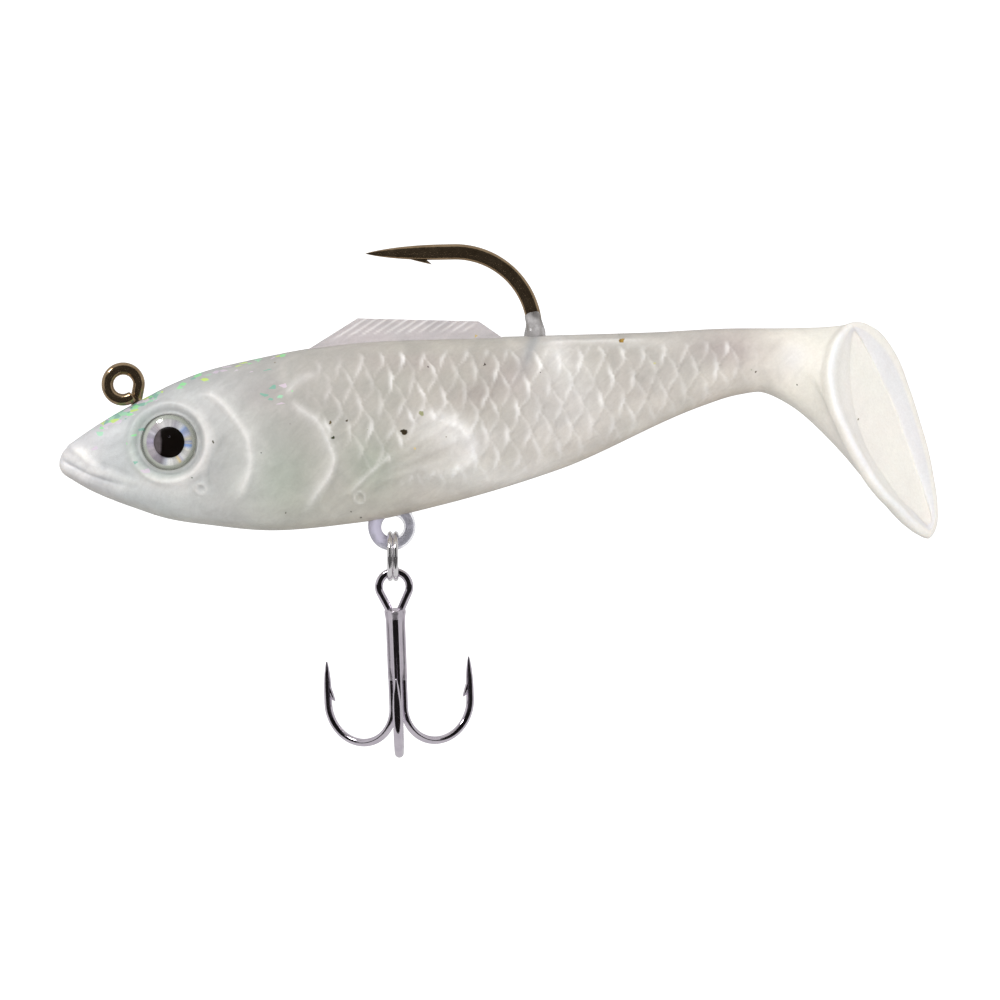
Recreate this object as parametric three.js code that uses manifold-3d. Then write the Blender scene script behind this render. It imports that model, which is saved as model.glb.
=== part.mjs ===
// Swimbait: a soft paddle-tail fishing lure, ready rigged with a jig hook in the back and a treble under the belly.
// Millimetres. +X runs from nose to tail, +Z is up, and the lure's left side is -Y.
// The origin is the centre of the line eye, the wire loop that stands out of the top of the head.
import * as THREE from "three";
import { mergeVertices } from "three/addons/utils/BufferGeometryUtils.js";
import Module from "manifold-3d";

// ---- driving dimensions ----

// Outlines of the moulded body: [x, z] along the back and the belly, [x, half width] seen from above.
const NOSE = [-7.97, -9.94];
const BACK = [
  NOSE, [-7.5, -8.5], [-6.25, -7.2], [-4.3, -5.8], [2.0, -2.1], [6.2, 0.06], [10.3, 1.65], [16.5, 3.15],
  [23.3, 4.46], [31.6, 5.39], [47.0, 5.91], [65.6, 6.46], [76.8, 6.97], [85.3, 6.99], [88.5, 7.5],
];
const BELLY = [
  NOSE, [-7.5, -11.1], [-6.25, -11.97], [-3.7, -13.4], [1.2, -15.35], [6.2, -16.9], [10.3, -17.5],
  [18.6, -18.24], [29.9, -17.2], [39.6, -15.1], [54.5, -10.6], [72.3, -2.7], [76.7, -1.33], [79.6, -0.95],
  [81.8, -1.1], [84.0, -2.2], [88.5, -6.5],
];
const HALF_WIDTH = [
  [-7.97, 0], [-7.3, 0.9], [-5.3, 2.0], [-2.3, 3.1], [2, 4.2], [6, 5.0], [10, 5.6], [16, 6.1], [23, 6.3],
  [31.6, 6.1], [39.5, 5.6], [54.5, 4.2], [64, 3.3], [72, 2.6], [79.6, 2.25], [88.5, 2.6],
];
const FULLNESS = 2.3; // exponent of the body's section: 2 is an ellipse, more is squarer
const BACK_FIN = [[23.3, 3.2], [29.2, 8.22], [44.34, 7.84], [48.2, 4.6]];
const BACK_FIN_THICK = 1.1;

// The tail bends about an upright axis, where the body ends in a hollow and the tail in a round end.
const TAIL_HINGE_X = 66;
const TAIL_END_R = 3.0;
const BODY_HOLLOW_R = 3.4;

// The paddle's plane leans back and is turned towards the left side. Its outlines are drawn as [x, z] places
// seen from the side, then laid onto that plane.
const BOOT_START_X = 79;
const BOOT_LENGTH = 9;
const PADDLE_CENTRE = new THREE.Vector3(95.0, 0, -5.95);
const PADDLE_TILT = THREE.MathUtils.degToRad(19.6);
const PADDLE_TURN = THREE.MathUtils.degToRad(43);
const PADDLE_RIM = [
  [91.2, 7.95], [93.3, 7.75], [95.5, 6.2], [97.1, 3.8], [98.7, -0.3], [100.3, -5.4], [101.5, -10.5],
  [102.08, -14.95], [101.85, -17.9], [101.06, -19.2], [99.9, -18.9], [98.4, -17.9], [95.9, -15.4],
  [92.6, -11.5], [89.7, -6.3], [88.1, -2.4], [87.6, 1.0], [88.1, 4.3], [89.4, 6.7],
];
const PADDLE_CREST = [
  [91.4, 7.35], [93.1, 7.0], [95.0, 5.5], [96.6, 3.2], [98.2, -0.9], [99.8, -6.0], [101.0, -11.0],
  [101.5, -14.9], [101.35, -17.3], [100.8, -18.3], [99.9, -17.9], [98.6, -16.9], [96.6, -14.9],
  [93.3, -11.1], [90.4, -6.0], [88.8, -2.3], [88.25, 1.0], [88.75, 4.1], [89.9, 6.2],
];
const PADDLE_FLOOR = [
  [91.2, 6.7], [91.9, 5.9], [92.8, 4.4], [95.2, -0.5], [97.4, -5.95], [98.85, -10.0], [100.3, -14.4],
  [100.9, -16.9], [100.5, -17.6], [99.8, -17.1], [98.3, -15.6], [94.5, -11.2], [91.7, -5.95],
  [90.8, -2.5], [90.5, 0.5], [90.6, 4.0], [90.85, 5.8],
];
const PADDLE_STRETCH = [5.3, 13.9]; // half sizes that bring those outlines near to a circle
// From the front of the rim over its edge and crest into the dished face: shares of the rim, crest and floor
// outlines, and depth along the way the paddle faces.
const PADDLE_ACROSS = [
  [0.965, 0, 0, -1.3], [0.99, 0, 0, -0.8], [1, 0, 0, -0.2], [0.5, 0.5, 0, 0.42], [0, 1, 0, 0.62],
  [0, 0.66, 0.34, 0.12], [0, 0, 1, -0.3], [0, 0, 0.5, -0.42],
];

// The lead head fills the front of the body under a skin.
const LEAD_FRONT_X = -4.6;
const LEAD_REAR_X = 21;
const LEAD_UNDER_SKIN = 1.4;
const CAVITY_UNDER_SKIN = 0.95;
const FOIL_UNDER_SKIN = 1.05;
const FOIL_THICK = 0.22;
const FOIL_SPAN = [4.2, 18.5];
const FOIL_FROM_RIDGE = 1.3;
const FOIL_LOW_Z = -3.2;

// Jig hook: line eye, shank through the head and body, round bend, point.
const LINE_EYE_R = 1.95;
const HOOK_WIRE_R = 0.75;
const SHANK_Z = -3.3;
const HOOK_BEND = { x: 41.4, z: 6.6, r: 9.9 };
const HOOK_ELBOW = { x: 3.1, r: 1.5 }; // where the shank turns up to the line eye
const HOOK_POINT_X = 30.2;
const HOOK_POINT_DROP = 0.02; // fall of the point per millimetre ahead of the bend
const HOOK_POINT_TAPER = 9.5;
const FORGED_IN_PLANE = 0.98;
const FORGED_ACROSS = 0.6;
const HOOK_BARB = [[33.8, 16.1], [38.55, 14.94], [37.07, 15.75], [36.4, 16.3]];
const HOOK_BARB_THICK = 0.5;
const BEAD_BOTTOM_Z = 5.1;
const BEAD_TOP_Z = 8.7;

// Eyes: a foil disc, a pupil and a domed lens, sunk in a round pocket on each side of the head.
const EYE = { x: 6.0, z: -7.28, base: 4.0, r: 3.45, foilR: 3.3, pupilR: 1.93, dome: 1.15 };
const EYE_YAW = THREE.MathUtils.degToRad(9);
const EYE_POCKET_R = 3.75;

// Belly eye, split ring and treble hook.
const BELLY_EYE = { x: 33.55, z: -17.74, r: 2.18, wireR: 0.5, sleeveR: 0.82 };
const RING = { x: 33.65, z: -21.45, r: 2.84, wireR: 0.31, turns: 1.83, halfPitch: 0.34 };
const TREBLE_LEAN = THREE.MathUtils.degToRad(8);
const TREBLE_TIP_IN = THREE.MathUtils.degToRad(-2);
const TREBLE = {
  wireR: 0.5, eyeTop: -1.95, eyeR: 1.9, shankTop: -6.9, shankOut: 0.78, brazeTop: -7.4, brazeEnd: -16.2,
  bendBottom: -23.9, reach: 10.3, tip: -13.7, taper: 4.6, barbBelow: 5,
};

const CLEAR = 0.3; // between the moulded body and what is cast into it
const SNUG = 0.08; // between a wire and the lead or sleeve round it

// ---- geometry helpers ----

const wasm = await Module();
wasm.setup();

function solidOf(geometry) {
  const bare = new THREE.BufferGeometry();
  const loose = geometry.index ? geometry.toNonIndexed() : geometry;
  bare.setAttribute("position", loose.getAttribute("position"));
  const merged = mergeVertices(bare, 1e-4);
  const triVerts = new Uint32Array(merged.index.array);
  const vertProperties = merged.getAttribute("position").array;
  return new wasm.Manifold(new wasm.Mesh({ numProp: 3, vertProperties, triVerts }));
}

function geometryOf(solid) {
  const mesh = solid.getMesh();
  const geometry = new THREE.BufferGeometry();
  geometry.setAttribute("position", new THREE.BufferAttribute(mesh.vertProperties, 3));
  geometry.setIndex(new THREE.BufferAttribute(mesh.triVerts, 1));
  geometry.computeVertexNormals();
  return geometry;
}

// A smooth curve through [place, value] points that never overshoots between them.
function smoothThrough(points) {
  const slopes = points.slice(1).map((p, i) => (p[1] - points[i][1]) / (p[0] - points[i][0]));
  const tangents = points.map((_, i) => {
    const before = slopes[Math.max(i - 1, 0)];
    const after = slopes[Math.min(i, slopes.length - 1)];
    return before * after <= 0 ? 0 : (2 * before * after) / (before + after);
  });
  return (place) => {
    let i = 0;
    while (i < points.length - 2 && place > points[i + 1][0]) i += 1;
    const [x0, y0] = points[i];
    const [x1, y1] = points[i + 1];
    const span = x1 - x0;
    const t = THREE.MathUtils.clamp((place - x0) / span, 0, 1);
    const rise = t * t * (3 - 2 * t);
    const lead = t * (1 - t) * (1 - t) * span;
    const trail = t * t * (t - 1) * span;
    return y0 + (y1 - y0) * rise + tangents[i] * lead + tangents[i + 1] * trail;
  };
}

// An outline that starts at the nose is smooth over the square root of the distance from it, so the nose is round.
function noseOutline(points) {
  const fromNose = (x) => Math.sqrt(Math.max(x - NOSE[0], 0));
  const curve = smoothThrough(points.map(([x, value]) => [fromNose(x), value]));
  return (x) => curve(fromNose(x));
}

function signedVolume(points, faces) {
  let six = 0;
  for (let i = 0; i < faces.length; i += 3) {
    const [a, b, c] = [points[faces[i]], points[faces[i + 1]], points[faces[i + 2]]];
    six += a.dot(b.clone().cross(c));
  }
  return six / 6;
}

// A closed body through rings of points, each end closed by a fan about its middle.
function loft(rings) {
  const sides = rings[0].length;
  const points = rings.flat();
  const faces = [];
  for (let i = 0; i < rings.length - 1; i += 1) {
    for (let k = 0; k < sides; k += 1) {
      const a = i * sides + k;
      const b = i * sides + ((k + 1) % sides);
      faces.push(a, b, b + sides, a, b + sides, a + sides);
    }
  }
  for (const [ring, turned] of [[0, true], [rings.length - 1, false]]) {
    const middle = rings[ring].reduce((sum, p) => sum.add(p), new THREE.Vector3()).divideScalar(sides);
    for (let k = 0; k < sides; k += 1) {
      const a = ring * sides + k;
      const b = ring * sides + ((k + 1) % sides);
      faces.push(points.length, turned ? b : a, turned ? a : b);
    }
    points.push(middle);
  }
  if (signedVolume(points, faces) < 0) faces.reverse();
  const geometry = new THREE.BufferGeometry().setFromPoints(points);
  geometry.setIndex(faces);
  geometry.computeVertexNormals();
  return geometry;
}

// A wire along points: size(i) gives its half size in the plane of the bend and across it, along "across".
function wire(points, size, across, sides = 8) {
  const rings = points.map((p, i) => {
    const before = points[Math.max(i - 1, 0)];
    const after = points[Math.min(i + 1, points.length - 1)];
    const along = after.clone().sub(before).normalize();
    const second = across.clone().addScaledVector(along, -across.dot(along)).normalize();
    const first = second.clone().cross(along);
    const [inPlane, over] = size(i);
    return Array.from({ length: sides }, (_, k) => {
      const turn = (2 * Math.PI * (k + 0.5)) / sides;
      const out = first.clone().multiplyScalar(inPlane * Math.cos(turn));
      return out.addScaledVector(second, over * Math.sin(turn)).add(p);
    });
  });
  return loft(rings);
}

// Points [a, b] of an arc, in degrees from the first axis.
function arc(a, b, r, from, to, steps) {
  return Array.from({ length: steps + 1 }, (_, i) => {
    const turn = THREE.MathUtils.degToRad(from + ((to - from) * i) / steps);
    return [a + r * Math.cos(turn), b + r * Math.sin(turn)];
  });
}

const upright = ([x, z], y = 0) => new THREE.Vector3(x, y, z);

// A flat plate of an outline in X and Z, of a thickness centred on y.
function plate(outline, thick, y = 0) {
  const shape = new THREE.Shape(outline.map(([x, z]) => new THREE.Vector2(x, z)));
  const geometry = new THREE.ExtrudeGeometry(shape, { depth: thick, bevelEnabled: false });
  return geometry.rotateX(Math.PI / 2).translate(0, y + thick / 2, 0);
}

function uprightCylinder(radius, x, y, zLow, zHigh) {
  const geometry = new THREE.CylinderGeometry(radius, radius, zHigh - zLow, 32);
  return geometry.rotateX(Math.PI / 2).translate(x, y, (zLow + zHigh) / 2);
}

const lathe = (profile, sides = 24) =>
  new THREE.LatheGeometry(profile.map(([r, h]) => new THREE.Vector2(r, h)), sides);

// ---- the moulded body's form ----

const backZ = noseOutline(BACK);
const bellyZ = noseOutline(BELLY);
const halfWidth = noseOutline(HALF_WIDTH);

// The point of the body's section at x, at a turn from the top round over +Y, moved in by an inset.
function skinPoint(x, turn, inset = 0, share = 1) {
  const middle = (backZ(x) + bellyZ(x)) / 2;
  const high = Math.max((backZ(x) - bellyZ(x)) / 2 - inset, 0.05) * share;
  const wide = Math.max(halfWidth(x) - inset, 0.05) * share;
  const c = Math.cos(turn);
  const s = Math.sin(turn);
  const r = (Math.abs(c) ** FULLNESS + Math.abs(s) ** FULLNESS) ** (-1 / FULLNESS);
  return new THREE.Vector3(x, wide * s * r, middle + high * c * r);
}

const turns = (sides) => Array.from({ length: sides }, (_, k) => (2 * Math.PI * k) / sides);
const skinRing = (x, sides, inset = 0, share = 1) => turns(sides).map((t) => skinPoint(x, t, inset, share));

// Places from one end to the other, closer together near the start.
const places = (from, to, count, power = 1) =>
  Array.from({ length: count }, (_, i) => from + (to - from) * (i / (count - 1)) ** power);

const BODY_SIDES = 28;
const hollow = solidOf(uprightCylinder(BODY_HOLLOW_R, TAIL_HINGE_X, 0, -30, 30)).add(
  solidOf(new THREE.BoxGeometry(60, 60, 60).translate(TAIL_HINGE_X + 30, 0, 0)),
);
const roundEnd = solidOf(uprightCylinder(TAIL_END_R, TAIL_HINGE_X, 0, -30, 30)).add(
  solidOf(new THREE.BoxGeometry(60, 60, 60).translate(TAIL_HINGE_X + 30, 0, 0)),
);

// A form inside the head: the body's own section moved in, with rounded ends.
function headCore(inset) {
  const grow = LEAD_UNDER_SKIN - inset;
  const front = LEAD_FRONT_X - grow;
  const rear = LEAD_REAR_X + grow;
  const middle = (front + rear) / 2;
  const rings = places(-1, 1, 15).map((side) => {
    const x = middle + ((rear - front) / 2) * Math.sin((side * Math.PI) / 2.04);
    const share = (1 - Math.abs((x - middle) / (rear - front) / 0.5) ** 5) ** 0.5;
    return skinRing(x, 20, inset, share);
  });
  return solidOf(loft(rings));
}

// ---- wires ----

const Y = new THREE.Vector3(0, 1, 0);
const Z = new THREE.Vector3(0, 0, 1);

// The line eye's loop winds a little across, so that its cut end lies beside the shank.
const LOOP_SWAY = 0.74;
const eyeLoop = arc(0, 0, LINE_EYE_R, -62, -360, 22);
const eyeLoopPoints = eyeLoop.map((p, i) => {
  const way = i / (eyeLoop.length - 1);
  return upright(p, -LOOP_SWAY * Math.cos(Math.PI * way) * Math.abs(Math.cos(Math.PI * way)));
});
const shankBend = arc(HOOK_ELBOW.x, SHANK_Z + HOOK_ELBOW.r, HOOK_ELBOW.r, 180, 270, 6);
const spearZ = (x) => HOOK_BEND.z + HOOK_BEND.r - HOOK_POINT_DROP * (HOOK_BEND.x - x);
const jigHookPath = [
  ...eyeLoopPoints,
  upright([HOOK_ELBOW.x - HOOK_ELBOW.r + 0.2, -0.9], LOOP_SWAY),
  ...shankBend.map((p, i) => upright(p, LOOP_SWAY * (1 - i / 6))),
  ...places(6, 38, 3).map((x) => upright([x, SHANK_Z])),
  ...arc(HOOK_BEND.x, HOOK_BEND.z, HOOK_BEND.r, -90, 90, 24).map((p) => upright(p)),
  ...places(HOOK_BEND.x - 1.5, HOOK_POINT_X, 12).map((x) => upright([x, spearZ(x)])),
];

function jigHookSize(i, grow) {
  const p = jigHookPath[i];
  const forged = THREE.MathUtils.smoothstep(p.z, 0, 8);
  const inPlane = HOOK_WIRE_R + (FORGED_IN_PLANE - HOOK_WIRE_R) * forged;
  const across = HOOK_WIRE_R + (FORGED_ACROSS - HOOK_WIRE_R) * forged;
  const fromTip = p.z > 12 ? Math.max(p.x - HOOK_POINT_X, 0.02) / HOOK_POINT_TAPER : 1;
  const taper = fromTip < 1 ? (1 - (1 - fromTip) ** 2) ** 0.8 : 1;
  return [inPlane * taper + grow, across * taper + grow];
}

const jigWire = (grow) => solidOf(wire(jigHookPath, (i) => jigHookSize(i, grow), Y));
const jigHook = jigWire(0).add(solidOf(plate(HOOK_BARB, HOOK_BARB_THICK)));

const bellyLegPath = [[13, -8.5], [20, -11.6], [27, -14.2], [30.6, -15.2]];
const bellyLoopPath = arc(BELLY_EYE.x, BELLY_EYE.z, BELLY_EYE.r, 90, -215, 22);
const bellyWirePath = [...bellyLegPath, ...bellyLoopPath].map((p) => upright(p));
const sleevePath = arc(BELLY_EYE.x, BELLY_EYE.z, BELLY_EYE.r, 48, -205, 20).map((p) => upright(p));
const plain = (r) => () => [r, r];
const bellyWire = (grow) => solidOf(wire(bellyWirePath, plain(BELLY_EYE.wireR + grow), Y));
const sleeveBore = arc(BELLY_EYE.x, BELLY_EYE.z, BELLY_EYE.r, 60, -217, 22).map((p) => upright(p));

// ---- pieces of the body ----

function bodySolid() {
  const nose = places(NOSE[0] + 0.04, 12, 12, 1.7);
  const rest = places(14.5, TAIL_HINGE_X + 1, 14);
  const skin = solidOf(loft([...nose, ...rest].map((x) => skinRing(x, BODY_SIDES))));
  const exit = uprightCylinder(1.75, HOOK_BEND.x + HOOK_BEND.r, 0, BEAD_BOTTOM_Z - CLEAR, 12);
  let body = skin.add(solidOf(plate(BACK_FIN, BACK_FIN_THICK))).subtract(hollow);
  body = body.subtract(headCore(CAVITY_UNDER_SKIN));
  const sleeveRoom = BELLY_EYE.sleeveR - BELLY_EYE.wireR + CLEAR;
  body = body.subtract(jigWire(CLEAR)).subtract(bellyWire(sleeveRoom)).subtract(solidOf(exit));
  for (const side of [-1, 1]) body = body.subtract(solidOf(eyePocket(side)));
  return body;
}

// Places a turned form, whose axis is +Y, on one side of the head: +Y becomes the way out of the eye.
function onHead(geometry, side, out) {
  const placed = geometry.clone();
  if (side < 0) placed.rotateZ(Math.PI);
  const yaw = side * EYE_YAW;
  const way = new THREE.Vector3(-Math.sin(EYE_YAW), side * Math.cos(EYE_YAW), 0);
  const at = new THREE.Vector3(EYE.x, side * EYE.base, EYE.z).addScaledVector(way, out);
  return placed.rotateZ(yaw).translate(at.x, at.y, at.z);
}

function eyePocket(side) {
  return onHead(new THREE.CylinderGeometry(EYE_POCKET_R, EYE_POCKET_R, 4, 28), side, 1.8);
}

function lensGeometry(side) {
  const dome = places(0, 90, 6).map((turn) => {
    const a = THREE.MathUtils.degToRad(turn);
    return [EYE.r * Math.cos(a), 0.9 + EYE.dome * Math.sin(a)];
  });
  return onHead(lathe([[0, 0.45], [EYE.r, 0.45], ...dome.slice(0, -1), [0, 0.9 + EYE.dome]]), side, 0);
}

const disc = (radius, low, high, side) =>
  onHead(lathe([[0, low], [radius, low], [radius, high], [0, high]]), side, 0);

// The flash foil: a thin sheet pressed on the lead, over the upper side of the head.
function foilSolid(side) {
  const sheet = headCore(FOIL_UNDER_SKIN).subtract(headCore(FOIL_UNDER_SKIN + FOIL_THICK));
  const [from, to] = FOIL_SPAN;
  const region = new THREE.BoxGeometry(to - from, 8, 8);
  region.translate((from + to) / 2, side * (4 + FOIL_FROM_RIDGE), 4 + FOIL_LOW_Z);
  return sheet.intersect(solidOf(region));
}

function beadSolid() {
  const height = BEAD_TOP_Z - BEAD_BOTTOM_Z;
  const profile = [
    [0, 0], [1.2, 0], [1.42, 0.25 * height], [1.45, 0.42 * height], [1.3, 0.6 * height], [1.24, 0.85 * height],
    [1.16, height], [0, height],
  ];
  const bead = lathe(profile, 20).rotateX(Math.PI / 2);
  bead.translate(HOOK_BEND.x + HOOK_BEND.r - 0.1, 0, BEAD_BOTTOM_Z);
  return solidOf(bead).subtract(jigWire(SNUG));
}

// ---- the tail ----

const paddleUp = new THREE.Vector3(-Math.sin(PADDLE_TILT), 0, Math.cos(PADDLE_TILT));
const paddleBack = new THREE.Vector3(Math.cos(PADDLE_TILT), 0, Math.sin(PADDLE_TILT));
const paddleWide = Y.clone().multiplyScalar(Math.cos(PADDLE_TURN)).addScaledVector(paddleBack, Math.sin(PADDLE_TURN));
const paddleFacing = paddleBack.clone().multiplyScalar(Math.cos(PADDLE_TURN)).addScaledVector(Y, -Math.sin(PADDLE_TURN));

// A side view outline as [back, up] places by turn: stretched to near a circle, its radius is read by angle.
function paddleOutline(points) {
  const [wideStretch, longStretch] = PADDLE_STRETCH;
  const knots = points.map(([x, z]) => {
    const p = new THREE.Vector3(x - PADDLE_CENTRE.x, 0, z - PADDLE_CENTRE.z);
    const back = p.dot(paddleBack) / wideStretch;
    const up = p.dot(paddleUp) / longStretch;
    return [THREE.MathUtils.euclideanModulo(Math.atan2(back, up), 2 * Math.PI), Math.hypot(back, up)];
  }).sort((a, b) => a[0] - b[0]);
  const shifted = (by) => knots.map(([turn, reach]) => [turn + by, reach]);
  const reachAt = smoothThrough([...shifted(-2 * Math.PI), ...knots, ...shifted(2 * Math.PI)]);
  return (turn) => {
    const reach = reachAt(THREE.MathUtils.euclideanModulo(turn, 2 * Math.PI));
    return [reach * Math.sin(turn) * wideStretch, reach * Math.cos(turn) * longStretch];
  };
}

const paddleOutlines = [PADDLE_RIM, PADDLE_CREST, PADDLE_FLOOR].map(paddleOutline);

function paddlePoint(turn, shares, depth) {
  const places = paddleOutlines.map((outline) => outline(turn));
  const [back, up] = [0, 1].map((axis) => places.reduce((sum, place, k) => sum + shares[k] * place[axis], 0));
  const wide = (back - Math.cos(PADDLE_TURN) * Math.max(depth, 0)) / Math.sin(PADDLE_TURN);
  return PADDLE_CENTRE.clone()
    .addScaledVector(paddleUp, up)
    .addScaledVector(paddleWide, wide)
    .addScaledVector(paddleFacing, depth);
}

const paddleRing = ([rim, crest, floor, depth]) =>
  turns(BODY_SIDES).map((turn) => paddlePoint(turn, [rim, crest, floor], depth));

// Between the stem and the paddle's front rim the section goes over from one to the other.
function bootRing(way) {
  const stem = skinRing(BOOT_START_X + BOOT_LENGTH * way, BODY_SIDES);
  const rim = paddleRing(PADDLE_ACROSS[0]);
  return stem.map((p, k) => p.clone().lerp(rim[k], way * way));
}

function tailSolid() {
  const stem = places(TAIL_HINGE_X - 4, BOOT_START_X, 8).map((x) => skinRing(x, BODY_SIDES));
  const boot = places(0, 1, 9).slice(1).map(bootRing);
  const paddle = PADDLE_ACROSS.slice(1).map(paddleRing);
  return solidOf(loft([...stem, ...boot, ...paddle])).intersect(roundEnd);
}

// ---- split ring and treble, each about the ring's centre ----

function splitRingGeometry() {
  const steps = 52;
  const half = RING.turns / 2;
  const points = places(-half, half, steps).map((turn) => {
    const a = 2 * Math.PI * turn;
    const cross = THREE.MathUtils.smoothstep(turn, -0.1, 0.1) * 2 - 1;
    return new THREE.Vector3(cross * RING.halfPitch, RING.r * Math.cos(a), RING.r * Math.sin(a));
  });
  return wire(points, plain(RING.wireR), new THREE.Vector3(1, 0, 0), 8);
}

// One arm in its own plane: [out from the shank, height], from the shank's foot round to the tip.
function armOutline() {
  const bendR = (TREBLE.reach - TREBLE.shankOut) / 2;
  const bend = arc(TREBLE.shankOut + bendR, TREBLE.bendBottom + bendR, bendR, 180, 360, 18);
  const spear = places(TREBLE.bendBottom + bendR + 0.6, TREBLE.tip, 7).map((h) => [TREBLE.reach, h]);
  return [...bend, ...spear];
}

const outward = (azimuth) => new THREE.Vector3(Math.cos(azimuth), Math.sin(azimuth), 0);
const inArmPlane = ([out, h], azimuth) => outward(azimuth).multiplyScalar(out).addScaledVector(Z, h);
const AZIMUTH = { front: -Math.PI / 2, left: (Math.PI * 5) / 6, right: Math.PI / 6 };

function trebleSize(points, grow) {
  return (i) => {
    const onSpear = Math.hypot(points[i].x, points[i].y) > TREBLE.reach - 0.4;
    const fromTip = onSpear ? Math.max(TREBLE.tip - points[i].z, 0.03) / TREBLE.taper : 1;
    const r = TREBLE.wireR * (fromTip < 1 ? (1 - (1 - fromTip) ** 2) ** 0.7 : 1) + grow;
    return [r, r];
  };
}

function trebleBarb(azimuth) {
  const inside = TREBLE.reach - TREBLE.wireR;
  const foot = TREBLE.tip - TREBLE.barbBelow;
  const outline = [[inside + 0.35, foot + 2.2], [inside + 0.4, foot + 0.5], [inside - 0.45, foot]];
  return plate(outline, 0.36).rotateZ(azimuth);
}

function doubleHookPath() {
  const arm = armOutline();
  const foot = (azimuth) => inArmPlane([TREBLE.shankOut, TREBLE.shankTop], azimuth);
  const eyeMiddle = TREBLE.eyeTop - TREBLE.eyeR;
  const eye = arc(0, eyeMiddle, TREBLE.eyeR, 200, -20, 18).map((p) => upright(p));
  const leftArm = arm.map((p) => inArmPlane(p, AZIMUTH.left)).reverse();
  const rightArm = arm.map((p) => inArmPlane(p, AZIMUTH.right));
  return [...leftArm, foot(AZIMUTH.left), ...eye, foot(AZIMUTH.right), ...rightArm];
}

function doubleHook(grow) {
  const points = doubleHookPath();
  return solidOf(wire(points, trebleSize(points, grow), Y, 8));
}

function thirdHook(grow) {
  const outline = [[TREBLE.shankOut, TREBLE.brazeTop + 0.1], [TREBLE.shankOut, -12], ...armOutline()];
  const points = outline.map((p) => inArmPlane(p, AZIMUTH.front));
  return solidOf(wire(points, trebleSize(points, grow), new THREE.Vector3(1, 0, 0), 8));
}

function brazeSolid() {
  const profile = [
    [0, TREBLE.brazeEnd], [0.7, TREBLE.brazeEnd], [0.98, TREBLE.brazeEnd + 1.2], [1.1, TREBLE.brazeTop - 0.6],
    [0.9, TREBLE.brazeTop], [0, TREBLE.brazeTop],
  ];
  const core = solidOf(lathe(profile, 24).rotateX(Math.PI / 2));
  return core.subtract(doubleHook(SNUG)).subtract(thirdHook(SNUG));
}

// ---- the assembly ----

const FINISH = {
  pearl: { color: 0xe6e2da, roughness: 0.32, metalness: 0 },
  lead: { color: 0x6f7276, roughness: 0.6, metalness: 0.8 },
  bronzed: { color: 0x2a211b, roughness: 0.25, metalness: 1 },
  clouded: { color: 0xd4d2da, roughness: 0.3, metalness: 0 },
  flash: { color: 0xcdf0cf, roughness: 0.2, metalness: 0.9 },
  eyeSilver: { color: 0xd8dcea, roughness: 0.2, metalness: 0.9 },
  black: { color: 0x08080a, roughness: 0.3, metalness: 0 },
  clear: { color: 0xf4f6f8, roughness: 0.05, metalness: 0 },
  nickel: { color: 0xd6d4d0, roughness: 0.15, metalness: 1 },
  blackNickel: { color: 0x34333b, roughness: 0.18, metalness: 1 },
  brazed: { color: 0x4a4850, roughness: 0.3, metalness: 1 },
};

function piece(name, shape, finish) {
  const geometry = shape.isBufferGeometry ? shape : geometryOf(shape);
  const mesh = new THREE.Mesh(geometry, new THREE.MeshStandardMaterial(FINISH[finish]));
  mesh.name = name;
  return mesh;
}

const group = new THREE.Group();
group.add(
  piece("soft_body", bodySolid(), "pearl"),
  piece("soft_tail", tailSolid(), "pearl"),
  piece("lead_head", headCore(LEAD_UNDER_SKIN).subtract(jigWire(SNUG)).subtract(bellyWire(SNUG)), "lead"),
  piece("jig_hook", jigHook, "bronzed"),
  piece("hook_exit_bead", beadSolid(), "clouded"),
  piece("belly_eye_wire", bellyWire(0), "nickel"),
);

const sleeve = solidOf(wire(sleevePath, plain(BELLY_EYE.sleeveR), Y));
const bore = solidOf(wire(sleeveBore, plain(BELLY_EYE.wireR + SNUG), Y));
group.add(piece("belly_eye_sleeve", sleeve.subtract(bore), "clouded"));

for (const [word, side] of [["left", -1], ["right", 1]]) {
  group.add(
    piece(`foil_${word}`, foilSolid(side), "flash"),
    piece(`eye_foil_${word}`, disc(EYE.foilR, 0, 0.18, side), "eyeSilver"),
    piece(`eye_pupil_${word}`, disc(EYE.pupilR, 0.24, 0.4, side), "black"),
    piece(`eye_lens_${word}`, lensGeometry(side), "clear"),
  );
}

const ring = piece("split_ring", splitRingGeometry(), "nickel");
ring.position.set(RING.x, 0, RING.z);
group.add(ring);

const barbs = [AZIMUTH.left, AZIMUTH.right].map((azimuth) => solidOf(trebleBarb(azimuth)));
const treble = new THREE.Group();
treble.position.set(RING.x, 0, RING.z);
treble.rotation.set(TREBLE_LEAN, TREBLE_TIP_IN, 0);
treble.add(
  piece("treble_double_hook", doubleHook(0).add(barbs[0]).add(barbs[1]), "blackNickel"),
  piece("treble_third_hook", thirdHook(0).add(solidOf(trebleBarb(AZIMUTH.front))), "blackNickel"),
  piece("treble_braze", brazeSolid(), "brazed"),
);
group.add(treble);

export default group;
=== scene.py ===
"""Swimbait: a soft paddle-tail lure with its jig hook, belly eye, split ring and treble, in Blender.

Metres in the finished meshes. Shapes are worked out in millimetres and scaled once, in surface().
+X runs from nose to tail, +Z is up, the lure's left side is -Y, and the origin is the line eye's centre.
"""
import math

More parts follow.
